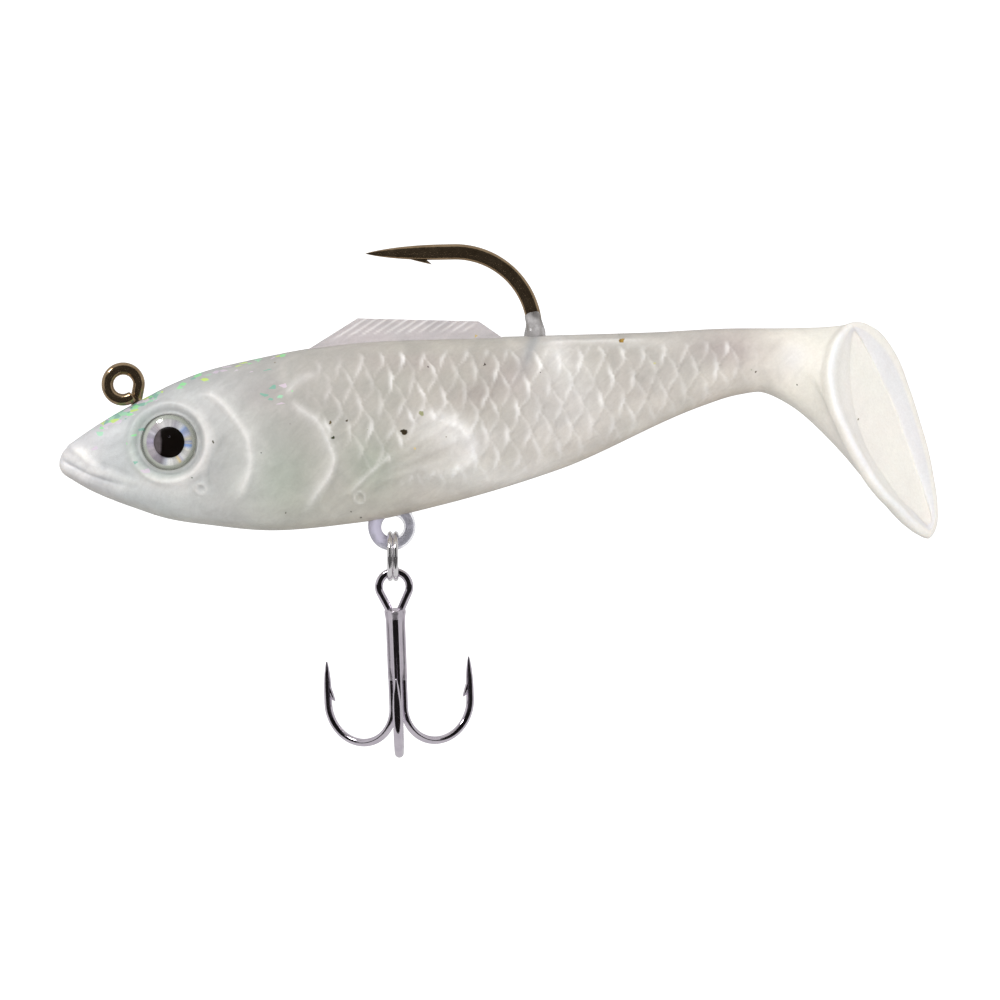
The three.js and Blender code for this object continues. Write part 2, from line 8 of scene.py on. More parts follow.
import bpy
import numpy as np
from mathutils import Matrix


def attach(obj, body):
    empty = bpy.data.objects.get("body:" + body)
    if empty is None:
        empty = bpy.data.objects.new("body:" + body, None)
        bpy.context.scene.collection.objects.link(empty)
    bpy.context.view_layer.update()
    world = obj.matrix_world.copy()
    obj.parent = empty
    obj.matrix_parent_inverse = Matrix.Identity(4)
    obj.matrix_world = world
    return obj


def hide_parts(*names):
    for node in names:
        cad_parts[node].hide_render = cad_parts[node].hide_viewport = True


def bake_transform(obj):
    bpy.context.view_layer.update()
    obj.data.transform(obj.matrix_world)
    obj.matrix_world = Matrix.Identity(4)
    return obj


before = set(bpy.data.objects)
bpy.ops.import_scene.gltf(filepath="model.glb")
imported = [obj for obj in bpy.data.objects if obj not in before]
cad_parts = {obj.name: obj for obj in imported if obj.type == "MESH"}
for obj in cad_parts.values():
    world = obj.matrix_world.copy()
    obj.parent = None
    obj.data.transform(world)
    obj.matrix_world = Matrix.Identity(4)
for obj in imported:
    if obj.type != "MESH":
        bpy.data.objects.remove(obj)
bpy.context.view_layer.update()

MM = 0.001
TAU = 2 * math.pi
ACROSS = np.array([0, 1.0, 0])
ALONG = np.array([1.0, 0, 0])

# ---- driving dimensions, in millimetres ----

NOSE_X = -7.97
# Outlines of the body by x: the back's height, the belly's height, and half the width.
BACK = [
    (-7.97, -9.94), (-7.5, -8.5), (-6.25, -7.2), (-4.3, -5.8), (2.0, -2.1), (6.2, 0.06), (10.3, 1.65),
    (16.5, 3.15), (23.3, 4.46), (31.6, 5.39), (47.0, 5.91), (65.6, 6.46), (76.8, 6.97), (85.3, 6.99),
    (88.5, 7.5),
]
BELLY = [
    (-7.97, -9.94), (-7.5, -11.1), (-6.25, -11.97), (-3.7, -13.4), (1.2, -15.35), (6.2, -16.9), (10.3, -17.5),
    (18.6, -18.24), (29.9, -17.2), (39.6, -15.1), (54.5, -10.6), (72.3, -2.7), (76.7, -1.33), (79.6, -0.95),
    (81.8, -1.1), (84.0, -2.2), (88.5, -6.5),
]
HALF_WIDTH = [
    (-7.97, 0), (-7.3, 0.9), (-5.3, 2.0), (-2.3, 3.1), (2, 4.2), (6, 5.0), (10, 5.6), (16, 6.1), (23, 6.3),
    (31.6, 6.1), (39.5, 5.6), (54.5, 4.2), (64, 3.3), (72, 2.6), (79.6, 2.25), (88.5, 2.6),
]
# The exponent of the body's rings: 2 is an ellipse, and more is fuller at the corners.
FULLNESS = 2.3
# The back fin's top edge as (x, z).
BACK_FIN = [(23.0, 4.3), (29.2, 8.22), (44.34, 7.84), (47.3, 5.8)]

# The stem widens into the paddle over a boot.
BOOT_START_X = 79.0
BOOT_LENGTH = 9.0
# The paddle's plane leans back and is turned towards the left side. Its outlines are drawn as they are seen
# from the side, then laid onto that plane.
PADDLE_CENTRE = np.array([95.0, 0.0, -5.95])
PADDLE_TILT = math.radians(19.6)
PADDLE_TURN = math.radians(43)
PADDLE_RIM = [
    (91.2, 7.95), (93.3, 7.75), (95.5, 6.2), (97.1, 3.8), (98.7, -0.3), (100.3, -5.4), (101.5, -10.5),
    (102.08, -14.95), (101.85, -17.9), (101.06, -19.2), (99.9, -18.9), (98.4, -17.9), (95.9, -15.4),
    (92.6, -11.5), (89.7, -6.3), (88.1, -2.4), (87.6, 1.0), (88.1, 4.3), (89.4, 6.7),
]
PADDLE_CREST = [
    (91.4, 7.35), (93.1, 7.0), (95.0, 5.5), (96.6, 3.2), (98.2, -0.9), (99.8, -6.0), (101.0, -11.0),
    (101.5, -14.9), (101.35, -17.3), (100.8, -18.3), (99.9, -17.9), (98.6, -16.9), (96.6, -14.9),
    (93.3, -11.1), (90.4, -6.0), (88.8, -2.3), (88.25, 1.0), (88.75, 4.1), (89.9, 6.2),
]
PADDLE_FLOOR = [
    (91.2, 6.7), (91.9, 5.9), (92.8, 4.4), (95.2, -0.5), (97.4, -5.95), (98.85, -10.0), (100.3, -14.4),
    (100.9, -16.9), (100.5, -17.6), (99.8, -17.1), (98.3, -15.6), (94.5, -11.2), (91.7, -5.95),
    (90.8, -2.5), (90.5, 0.5), (90.6, 4.0), (90.85, 5.8),
]

# The eye's middle, how far out of the lure's middle plane its foil lies, and its radius.
EYE_X, EYE_Z, EYE_BASE, EYE_R = 6.0, -7.28, 4.0, 3.45
EYE_YAW = math.radians(9)
PUPIL_R = 1.93
EYE_FOIL_R = 3.42
LENS_R = 3.5
BUBBLE_R, BUBBLE_WIRE_R = 0.13, 0.035

# Jig hook: wire, line eye, how far the closing loop sways to each side, shank, bend and point.
WIRE_R = 0.75
LINE_EYE_R = 1.95
LOOP_SWAY = 0.74
SHANK_Z = -3.3
ELBOW_X, ELBOW_R = 3.1, 1.5
BEND_X, BEND_Z, BEND_R = 41.4, 6.6, 9.9
HOOK_POINT_X = 30.2
HOOK_POINT_LENGTH = 9.5
# The spear comes down by this much per millimetre towards its point.
SPEAR_FALL = 0.02
HOOK_BARB_THICK = 0.62
HOOK_BARB = [
    (33.9, 16.25), (35.6, 15.62), (37.0, 15.25), (38.55, 14.9), (37.9, 15.45), (37.1, 16.1), (35.0, 16.5),
]
# The bead where the hook leaves the back: its foot, its height, and its radius by the share of the height.
BEAD_FOOT_Z, BEAD_HEIGHT = 4.7, 4.1
BEAD_RADIUS = [
    (0, 0.7), (0.06, 1.12), (0.25, 1.36), (0.42, 1.3), (0.6, 1.12), (0.8, 1.02), (0.95, 1.0), (1, 0.93),
]

BELLY_EYE_X, BELLY_EYE_Z, BELLY_EYE_R = 33.55, -17.74, 2.18
BELLY_WIRE_R = 0.5
BELLY_LEG = [(13, -8.5), (20, -11.6), (27, -14.2), (30.6, -15.2), (32.2, -15.5)]
SLEEVE_R = 0.84
RING_X, RING_Z, RING_R = 33.65, -21.45, 2.84
# The ring's coils lie this far to each side of its middle. Its wire is a little flat: half its size along
# the ring's radius, then across the ring.
RING_COIL_OUT = 0.36
RING_WIRE_DEEP, RING_WIRE_WIDE = 0.3, 0.335

# Treble, in a frame of its own: it hangs straight down, and its origin is the middle of the split ring.
TREBLE_LEAN = math.radians(8)
TREBLE_TIP_IN = math.radians(-2)
TREBLE_WIRE_R = 0.5
TREBLE_EYE_TOP = -1.95
TREBLE_EYE_R = 1.9
TREBLE_SHANK_OUT = 0.78
TREBLE_SHANK_TOP = -6.9
TREBLE_BEND_BOTTOM = -23.9
TREBLE_REACH = 10.3
TREBLE_TIP = -13.7
TREBLE_POINT_LENGTH = 4.6
TREBLE_BARB_THICK = 0.46
BRAZE_TOP, BRAZE_END = -6.6, -16.2
# The arms' directions about the shank.
FRONT, LEFT, RIGHT = -math.pi / 2, math.pi * 5 / 6, math.pi / 6

# The camera looks at this place, from this far, and takes in this width there.
VIEW_X, VIEW_Z = 46.99, -14.44
VIEW_DISTANCE, VIEW_WIDTH = 900.0, 124.67
SENSOR_WIDTH = 36.0
FLOOR_Z = -76
LURE_MIDDLE = np.array([45.0, 0, -8.0])


# ---- camera ----

def make_camera():
    """A long lens level with the lure, looking square at its left side."""
    data = bpy.data.cameras.new("camera")
    data.sensor_width = SENSOR_WIDTH
    data.lens = SENSOR_WIDTH * VIEW_DISTANCE / VIEW_WIDTH
    data.clip_start, data.clip_end = 0.05, 20.0
    camera = bpy.data.objects.new("camera", data)
    camera.location = (VIEW_X * MM, -VIEW_DISTANCE * MM, VIEW_Z * MM)
    camera.rotation_euler = (math.pi / 2, 0, 0)
    bpy.context.scene.collection.objects.link(camera)
    bpy.context.scene.camera = camera


make_camera()


# ---- curves and surfaces ----

def smooth_through(points):
    """Cubic curve through (place, value) points whose slopes are harmonic means, so it never overshoots."""
    xs, ys = np.array(points, float).T
    chords = np.diff(ys) / np.diff(xs)
    before = np.concatenate([chords[:1], chords])
    after = np.concatenate([chords, chords[-1:]])
    product = before * after
    slopes = np.where(product > 0, 2 * product / np.where(before + after == 0, 1, before + after), 0)

    def curve(x):
        x = np.clip(np.asarray(x, float), xs[0], xs[-1])
        i = np.clip(np.searchsorted(xs, x, side="right") - 1, 0, len(xs) - 2)
        span = xs[i + 1] - xs[i]
        t = (x - xs[i]) / span
        rise = t * t * (3 - 2 * t)
        return (ys[i] + (ys[i + 1] - ys[i]) * rise + slopes[i] * t * (1 - t) ** 2 * span
                + slopes[i + 1] * t * t * (t - 1) * span)

    return curve


def nose_outline(points):
    """The same curve taken over the square root of the distance from the nose, which rounds the nose."""
    curve = smooth_through([(math.sqrt(x - NOSE_X), value) for x, value in points])
    return lambda x: curve(np.sqrt(np.maximum(np.asarray(x, float) - NOSE_X, 0)))


def ramp(low, high, value):
    """0 below low, 1 above high, smooth between."""
    t = np.clip((value - low) / (high - low), 0, 1)
    return t * t * (3 - 2 * t)


def bump(value, width):
    """A bell of height 1 at 0, falling to about a third at width."""
    return np.exp(-(value / width) ** 2)


def route(points, count):
    """A smooth line of count points through a few (x, z) points."""
    points = np.array(points, float)
    t = np.concatenate([[0], np.cumsum(np.hypot(*np.diff(points, axis=0).T))])
    s = np.linspace(0, t[-1], count)
    return np.stack([smooth_through(list(zip(t, points[:, k])))(s) for k in (0, 1)], axis=1)


def distance_to(line, x, z):
    """Distance from each (x, z) to a dense line, and how far along the line its nearest point is, 0 to 1."""
    gap = np.hypot(x[..., None] - line[:, 0], z[..., None] - line[:, 1])
    return gap.min(-1), gap.argmin(-1) / (len(line) - 1)


def arc(a, b, r, start, stop, count):
    """Points of an arc in a plane, in degrees from the first axis."""
    turn = np.radians(np.linspace(start, stop, count))
    return np.stack([a + r * np.cos(turn), b + r * np.sin(turn)], axis=1)


def upright(points, y=0.0):
    """(x, z) points set in the plane of the lure, moved across by y."""
    points = np.asarray(points, float)
    return np.stack([points[:, 0], np.broadcast_to(y, len(points)), points[:, 1]], axis=1)


def even(points, step):
    """The same path, its points re-spaced evenly about step apart."""
    t = np.concatenate([[0], np.cumsum(np.linalg.norm(np.diff(points, axis=0), axis=1))])
    s = np.linspace(0, t[-1], int(t[-1] / step) + 2)
    return np.stack([np.interp(s, t, points[:, k]) for k in range(3)], axis=1)


def surface(name, grid, material, attributes=None, closed_rows=False):
    """A closed skin over a grid of points: columns run round, rows run along, and each end is a fan.

    With closed_rows the last row joins the first, and there are no ends. Attributes are stored per point.
    """
    rows, columns = grid.shape[:2]
    index = np.arange(rows * columns).reshape(rows, columns)
    around = np.roll(index, -1, axis=1)
    if closed_rows:
        lower, upper = index, np.roll(index, -1, axis=0)
        lower_next, upper_next = around, np.roll(around, -1, axis=0)
    else:
        lower, upper, lower_next, upper_next = index[:-1], index[1:], around[:-1], around[1:]
    quads = np.stack([lower, lower_next, upper_next, upper], axis=-1).reshape(-1, 4)
    points = grid.reshape(-1, 3)
    fans = np.zeros((0, 3), int)
    if not closed_rows:
        points = np.vstack([points, grid[0].mean(0), grid[-1].mean(0)])
        first = np.stack([index[0], np.full(columns, len(points) - 2), around[0]], axis=1)
        last = np.stack([index[-1], around[-1], np.full(columns, len(points) - 1)], axis=1)
        fans = np.vstack([first, last])
    triangles = np.vstack([quads[:, [0, 1, 2]], quads[:, [0, 2, 3]], fans])
    a, b, c = (points[triangles[:, k]] for k in range(3))
    if np.einsum("ij,ij->i", a, np.cross(b, c)).sum() < 0:
        quads, fans = quads[:, ::-1], fans[:, ::-1]
    mesh = bpy.data.meshes.new(name)
    mesh.from_pydata(points * MM, [], quads.tolist() + fans.tolist())
    mesh.polygons.foreach_set("use_smooth", np.ones(len(mesh.polygons), bool))
    for word, values in (attributes or {}).items():
        values = values.reshape(rows * columns, -1)
        if not closed_rows:
            ends = [values[:columns].mean(0), values[-columns:].mean(0)]
            values = np.vstack([values, ends])
        kind = "FLOAT" if values.shape[1] == 1 else "FLOAT_VECTOR"
        layer = mesh.attributes.new(word, kind, "POINT")
        layer.data.foreach_set("value" if kind == "FLOAT" else "vector", values.astype(np.float32).ravel())
    mesh.materials.append(material)
    mesh.update()
    piece = bpy.data.objects.new(name, mesh)
    bpy.context.scene.collection.objects.link(piece)
    return piece


def tube_grid(path, in_plane, over, across, sides, squareness=2.0):
    """Superellipse rings square to a path: in_plane and over are half sizes in the plane of the bend and
    along across. A point's distance is 1 over the root of |cos|^n + |sin|^n, with squareness as n.
    """
    along = np.gradient(path, axis=0)
    along /= np.linalg.norm(along, axis=1, keepdims=True)
    second = across - along * (along @ across)[:, None]
    second /= np.linalg.norm(second, axis=1, keepdims=True)
    first = np.cross(second, along)
    turn = np.linspace(0, TAU, sides, endpoint=False)
    c, s = np.cos(turn), np.sin(turn)
    reach = (np.abs(c) ** squareness + np.abs(s) ** squareness) ** (-1 / squareness)
    in_plane = np.broadcast_to(in_plane, len(path))[:, None, None]
    over = np.broadcast_to(over, len(path))[:, None, None]
    spread = in_plane * first[:, None] * (c * reach)[:, None] + over * second[:, None] * (s * reach)[:, None]
    return path[:, None] + spread


def rounded_ends(path, size):
    """Half sizes that close both ends of a wire in a quarter circle over one wire radius."""
    t = np.concatenate([[0], np.cumsum(np.linalg.norm(np.diff(path, axis=0), axis=1))])
    left = np.minimum(t, t[-1] - t)
    from_end = np.clip(left / np.max(size), 0.0, 1.0)
    return size * np.sqrt(np.clip(1 - (1 - from_end) ** 2, 0.0004, 1))


# ---- materials ----

def shader(name):
    """A new material with its node tree and Principled shader."""
    material = bpy.data.materials.new(name)
    material.use_nodes = True
    tree = material.node_tree
    return material, tree, tree.nodes["Principled BSDF"]


def node(tree, kind, inputs=None, **settings):
    """Adds a node, sets its properties, and fills or links its inputs by name or number."""
    made = tree.nodes.new(kind)
    for word, value in settings.items():
        setattr(made, word, value)
    for key, value in (inputs or {}).items():
        if isinstance(value, bpy.types.NodeSocket):
            tree.links.new(value, made.inputs[key])
        else:
            made.inputs[key].default_value = value
    return made


def mapped(tree, source, low, high, to_low, to_high):
    """A value carried from one range to another."""
    made = node(tree, "ShaderNodeMapRange", {"Value": source, "From Min": low, "From Max": high,
                                             "To Min": to_low, "To Max": to_high})
    return made.outputs["Result"]


def mixed(tree, factor, a, b, blend="MIX"):
    """Two colours mixed by a factor."""
    made = node(tree, "ShaderNodeMix", data_type="RGBA", blend_type=blend)
    for socket, value in ((made.inputs["Factor"], factor), (made.inputs[6], a), (made.inputs[7], b)):
        if isinstance(value, bpy.types.NodeSocket):
            tree.links.new(value, socket)
        else:
            socket.default_value = value
    return made.outputs[2]


def sums(tree, operation, a, b=0.0):
    """One arithmetic step."""
    made = node(tree, "ShaderNodeMath", {0: a, 1: b}, operation=operation)
    return made.outputs[0]


def colour_ramp(tree, source, stops, interpolation="LINEAR"):
    """A ramp of (place, colour) stops over a value."""
    made = node(tree, "ShaderNodeValToRGB", {0: source})
    made.color_ramp.interpolation = interpolation
    elements = made.color_ramp.elements
    while len(elements) > 1:
        elements.remove(elements[-1])
    elements[0].position, elements[0].color = stops[0]
    for place, colour in stops[1:]:
        elements.new(place).color = colour
    return made.outputs["Color"]


def rgb(r, g, b):
    """A display colour, 0 to 255, as the linear colour that shaders take."""
    def linear(v):
        v /= 255
        return v / 12.92 if v <= 0.04045 else ((v + 0.055) / 1.055) ** 2.4

    return (linear(r), linear(g), linear(b), 1.0)


def object_place(tree):
    """The piece's own coordinates, in metres."""
    return node(tree, "ShaderNodeTexCoord").outputs["Object"]


def attribute(tree, name):
    """A value or vector stored on the piece's points."""
    return node(tree, "ShaderNodeAttribute", attribute_name=name)


def noise(tree, place, scale, detail=3.0, roughness=0.55):
    """Soft clouds of values about 0.5."""
    made = node(tree, "ShaderNodeTexNoise", {"Vector": place, "Scale": scale, "Detail": detail,
                                             "Roughness": roughness})
    return made.outputs["Fac"]


def bumped(tree, principled, height, strength, distance):
    """Fine relief in the shading, for marks too small to model."""
    made = node(tree, "ShaderNodeBump", {"Height": height, "Strength": strength, "Distance": distance})
    tree.links.new(made.outputs["Normal"], principled.inputs["Normal"])


def plated_metal(name, light, dark, roughness, grain=900.0, metal=1.0):
    """Plated wire: two close tones in soft blotches about 1 / grain metres across, and uneven polish and
    fine relief at about a quarter of that size.
    """
    material, tree, principled = shader(name)
    place = object_place(tree)
    blotch = noise(tree, place, grain)
    principled.inputs["Metallic"].default_value = metal
    tree.links.new(mixed(tree, blotch, dark, light), principled.inputs["Base Color"])
    wear = noise(tree, place, grain * 4, 2.0)
    polish = mapped(tree, wear, 0.3, 0.7, roughness * 0.8, roughness * 1.35)
    tree.links.new(polish, principled.inputs["Roughness"])
    bumped(tree, principled, noise(tree, place, grain * 3.2, 3.0), 0.12, 0.00004)
    return material


def clouded_plastisol(name, clear_colour, cloud_colour, clear_share):
    """Soft clear plastic with milky clouds: the clouds scatter light and the rest lets it through."""
    material, tree, principled = shader(name)
    place = object_place(tree)
    milk = attribute(tree, "milk").outputs["Fac"]
    swirl = mapped(tree, noise(tree, place, 520.0, 4.0), 0.35, 0.65, -0.35, 0.35)
    cloud = mapped(tree, sums(tree, "ADD", milk, swirl), 0.0, 1.0, 0.0, 1.0)
    tree.links.new(mixed(tree, cloud, clear_colour, cloud_colour), principled.inputs["Base Color"])
    tree.links.new(mapped(tree, cloud, 0.0, 1.0, 1 - clear_share, 0.97), principled.inputs["Alpha"])
    principled.inputs["Roughness"].default_value = 0.22
    principled.inputs["IOR"].default_value = 1.45
    principled.inputs["Coat Weight"].default_value = 0.4
    principled.inputs["Coat Roughness"].default_value = 0.12
    bumped(tree, principled, noise(tree, place, 1400.0, 2.0), 0.25, 0.00006)
    return material


# Specks of dirt and pigment in the plastic of the left side: x, z, radius in millimetres, and colour.
SPECKS = [
    (35.2, -6.05, 0.36, rgb(52, 40, 18)), (34.85, -5.95, 0.22, rgb(48, 38, 18)),
    (37.3, -3.75, 0.32, rgb(150, 150, 112)), (61.95, 5.3, 0.22, rgb(140, 110, 44)),
    (62.25, 5.33, 0.2, rgb(160, 126, 52)),
    (26.3, -6.75, 0.2, rgb(46, 52, 26)), (28.0, -4.6, 0.16, rgb(74, 62, 48)),
    (45.1, 2.35, 0.13, rgb(58, 44, 38)), (25.95, -4.85, 0.15, rgb(96, 84, 58)),
    (38.0, 2.0, 0.1, rgb(90, 76, 76)), (52.0, 1.35, 0.1, rgb(84, 62, 70)),
    (11.5, -7.25, 0.14, rgb(84, 80, 66)), (17.4, -8.6, 0.1, rgb(60, 60, 56)),
    (8.9, -11.6, 0.11, rgb(90, 100, 74)), (44.0, 6.0, 0.14, rgb(190, 168, 110)),
    (29.7, -16.6, 0.12, rgb(96, 92, 84)), (20.4, -16.0, 0.1, rgb(110, 108, 96)),
    (78.8, 1.55, 0.13, rgb(84, 70, 56)), (83.9, -0.1, 0.1, rgb(90, 86, 66)),
    (66.2, 2.55, 0.14, rgb(196, 192, 140)), (36.4, -8.0, 0.14, rgb(214, 190, 120)),
    (3.9, -16.3, 0.13, rgb(120, 112, 92)), (28.5, -15.9, 0.1, rgb(104, 104, 92)),
    (91.6, -4.4, 0.1, rgb(140, 130, 110)), (94.0, 2.2, 0.09, rgb(150, 140, 120)),
]


def pearl_material():
    """Pearl plastic. The tone stored on the skin carries painted highlights and painted shade. It is darkened
    a little by broad swirls, silky streaks and fine grain. Foil flecks and dust lie over it, and on the left
    side the larger specks. Every pattern reads the place in the mould, in millimetres, so it travels with the
    skin when the tail bends.
    """
    material, tree, principled = shader("pearl_soft_plastic")
    rest = attribute(tree, "rest").outputs["Vector"]
    tone = attribute(tree, "tone").outputs["Vector"]
    swirl_noise = node(tree, "ShaderNodeTexNoise", {"Vector": rest, "Scale": 0.19, "Detail": 4.0,
                                                    "Distortion": 1.3})
    swirl = mapped(tree, swirl_noise.outputs["Fac"], 0.35, 0.65, 0.0, 1.0)
    warm = mapped(tree, noise(tree, rest, 0.11, 3.0), 0.4, 0.6, 0.0, 0.6)
    split = node(tree, "ShaderNodeSeparateXYZ", {"Vector": rest})
    on_body = mapped(tree, split.outputs["X"], 80.0, 90.0, 1.0, 0.3)
    base = mixed(tree, sums(tree, "MULTIPLY", swirl, on_body), tone, (0.88, 0.885, 0.89, 1.0), "MULTIPLY")
    leaning = node(tree, "ShaderNodeMapping", {"Vector": rest, "Rotation": (0.0, -0.75, 0.0),
                                               "Scale": (2.2, 1.0, 0.8)}, vector_type="TEXTURE")
    silk_place = leaning.outputs["Vector"]
    silk_noise = node(tree, "ShaderNodeTexNoise", {"Vector": silk_place, "Scale": 0.6, "Detail": 4.0,
                                                   "Distortion": 1.5})
    silk = mapped(tree, silk_noise.outputs["Fac"], 0.38, 0.62, 0.0, 1.0)
    base = mixed(tree, sums(tree, "MULTIPLY", silk, on_body), base, (0.93, 0.925, 0.925, 1.0), "MULTIPLY")
    base = mixed(tree, warm, base, (1.0, 0.975, 0.99, 1.0), "MULTIPLY")
    grain = noise(tree, rest, 3.2, 3.0)
    base = mixed(tree, mapped(tree, grain, 0.35, 0.65, 0.0, 0.8), base, (0.94, 0.935, 0.93, 1.0), "MULTIPLY")
    fleck_mask = attribute(tree, "fleck").outputs["Fac"]
    drawn_out = node(tree, "ShaderNodeMapping", {"Vector": rest, "Rotation": (0.0, 0.6, 0.0),
                                                 "Scale": (1.0, 1.0, 1.9)}).outputs["Vector"]
    cells = node(tree, "ShaderNodeTexVoronoi", {"Vector": drawn_out, "Scale": 1.15, "Randomness": 1.0})
    chance = node(tree, "ShaderNodeSeparateColor", {"Color": cells.outputs["Color"]})
    flash = colour_ramp(tree, chance.outputs["Red"], [
        (0.0, rgb(96, 176, 150)), (0.2, rgb(128, 236, 140)), (0.38, rgb(214, 206, 214)),
        (0.52, rgb(200, 236, 60)), (0.66, rgb(150, 220, 176)), (0.82, rgb(214, 196, 214)),
    ], "CONSTANT")
    lit = sums(tree, "GREATER_THAN", sums(tree, "MULTIPLY", fleck_mask, 1.25), chance.outputs["Green"])
    base = mixed(tree, sums(tree, "MULTIPLY", lit, 0.66), base, flash)
    dust_cells = node(tree, "ShaderNodeTexVoronoi", {"Vector": rest, "Scale": 0.42, "Randomness": 1.0})
    dust_chance = node(tree, "ShaderNodeSeparateColor", {"Color": dust_cells.outputs["Color"]})
    dust_size = mapped(tree, dust_chance.outputs["Red"], 0.55, 1.0, 0.0, 0.055)
    dust = sums(tree, "LESS_THAN", dust_cells.outputs["Distance"], dust_size)
    dust_colour = colour_ramp(tree, dust_chance.outputs["Blue"], [
        (0.0, rgb(120, 108, 84)), (0.5, rgb(128, 140, 104)), (0.8, rgb(104, 92, 90))], "CONSTANT")
    base = mixed(tree, sums(tree, "MULTIPLY", dust, 0.6), base, dust_colour)
    near_side = sums(tree, "LESS_THAN", split.outputs["Y"], 0.0)
    side_view = node(tree, "ShaderNodeCombineXYZ", {"X": split.outputs["X"], "Z": split.outputs["Z"]})
    wobble = node(tree, "ShaderNodeTexNoise", {"Vector": rest, "Scale": 2.4, "Detail": 1.0})
    about_zero = node(tree, "ShaderNodeVectorMath", {0: wobble.outputs["Color"], 1: (0.5, 0.5, 0.5)},
                      operation="SUBTRACT")
    uneven = node(tree, "ShaderNodeVectorMath", {0: about_zero.outputs[0], 1: (0.45, 0.0, 0.45)},
                  operation="MULTIPLY")
    bent = node(tree, "ShaderNodeVectorMath", {0: side_view.outputs[0], 1: uneven.outputs[0]},
                operation="ADD")
    for x, z, radius, colour in SPECKS:
        gap = node(tree, "ShaderNodeVectorMath", {0: bent.outputs[0], 1: (x, 0.0, z)},
                   operation="DISTANCE").outputs["Value"]
        spot = mapped(tree, gap, radius * 1.15, radius * 0.8, 0.0, 1.0)
        base = mixed(tree, sums(tree, "MULTIPLY", spot, near_side), base, colour)
    tree.links.new(base, principled.inputs["Base Color"])
    gloss = mapped(tree, noise(tree, rest, 0.8, 3.0), 0.3, 0.7, 0.34, 0.46)
    tree.links.new(gloss, principled.inputs["Roughness"])
    principled.inputs["Subsurface Weight"].default_value = 0.18
    principled.inputs["Subsurface Radius"].default_value = (1.0, 0.85, 0.7)
    principled.inputs["Subsurface Scale"].default_value = 0.0006
    principled.inputs["Coat Weight"].default_value = 0.1
    principled.inputs["Coat Roughness"].default_value = 0.25
    fine = sums(tree, "ADD", noise(tree, rest, 6.0, 3.0), noise(tree, rest, 1.3, 2.0))
    bumped(tree, principled, fine, 0.3, 0.00008)
    return material


def eye_material():
    """Holographic eye foil: wedges of silver, white, blue, yellow and lilac round the pupil, streaked with
    soft grey rays, and a pale edge round them.
    """
    material, tree, principled = shader("holographic_eye_foil")
    turn = attribute(tree, "turn").outputs["Fac"]
    place = object_place(tree)
    ragged = sums(tree, "ADD", turn, mapped(tree, noise(tree, place, 700.0, 2.0), 0.0, 1.0, -0.012, 0.012))
    wedges = colour_ramp(tree, ragged, [
        (0.0, rgb(126, 156, 232)), (0.03, rgb(250, 240, 200)), (0.06, rgb(190, 196, 230)),
        (0.11, rgb(136, 164, 232)), (0.15, rgb(222, 224, 234)), (0.2, rgb(160, 156, 170)),
        (0.25, rgb(236, 234, 238)), (0.3, rgb(240, 238, 240)), (0.36, rgb(190, 178, 186)),
        (0.42, rgb(206, 202, 216)), (0.5, rgb(172, 160, 192)), (0.56, rgb(196, 184, 194)),
        (0.62, rgb(150, 142, 152)), (0.68, rgb(120, 114, 124)), (0.72, rgb(196, 200, 214)),
        (0.75, rgb(255, 255, 255)), (0.81, rgb(255, 254, 250)), (0.83, rgb(250, 214, 140)),
        (0.855, rgb(196, 196, 226)), (0.88, rgb(250, 250, 252)), (0.94, rgb(255, 252, 244)),
        (0.97, rgb(126, 156, 232)),
    ])
    out = attribute(tree, "out").outputs["Fac"]
    lines = node(tree, "ShaderNodeTexNoise", {"Scale": 17.0, "Detail": 2.5}, noise_dimensions="1D")
    tree.links.new(turn, lines.inputs["W"])
    shaded = mixed(tree, mapped(tree, lines.outputs["Fac"], 0.42, 0.6, 0.0, 0.45), wedges, rgb(120, 116, 126))
    shaded = mixed(tree, 0.62, shaded, shaded, "SCREEN")
    edge = mapped(tree, out, 0.82, 0.86, 0.0, 1.0)
    cloudy = mapped(tree, noise(tree, place, 300.0), 0.35, 0.65, 0.0, 1.0)
    clear_edge = mixed(tree, cloudy, rgb(204, 210, 202), rgb(232, 234, 230))
    tree.links.new(mixed(tree, edge, shaded, clear_edge), principled.inputs["Base Color"])
    principled.inputs["Roughness"].default_value = 0.4
    bumped(tree, principled, lines.outputs["Fac"], 0.2, 0.00003)
    return material


def pupil_material():
    """Gloss black. Ahead of a ragged upright line a mottled grey painted reflection lies over it."""
    material, tree, principled = shader("pupil_black")
    place = object_place(tree)
    x = node(tree, "ShaderNodeSeparateXYZ", {"Vector": place}).outputs["X"]
    ragged = sums(tree, "ADD", x, mapped(tree, noise(tree, place, 800.0, 2.0), 0.0, 1.0, -0.00035, 0.00035))
    # A painted reflection: mottled grey over the pupil's front part.
    painted_reflection = mapped(tree, ragged, 5.0 * MM, 4.7 * MM, 0.0, 1.0)
    mottled = mapped(tree, noise(tree, place, 900.0, 3.0), 0.3, 0.7, 0.55, 1.0)
    grey = mixed(tree, mottled, rgb(64, 56, 54), rgb(104, 96, 100))
    tree.links.new(mixed(tree, painted_reflection, rgb(14, 8, 5), grey), principled.inputs["Base Color"])
    principled.inputs["Roughness"].default_value = 0.35
    principled.inputs["Specular IOR Level"].default_value = 0.25
    return material


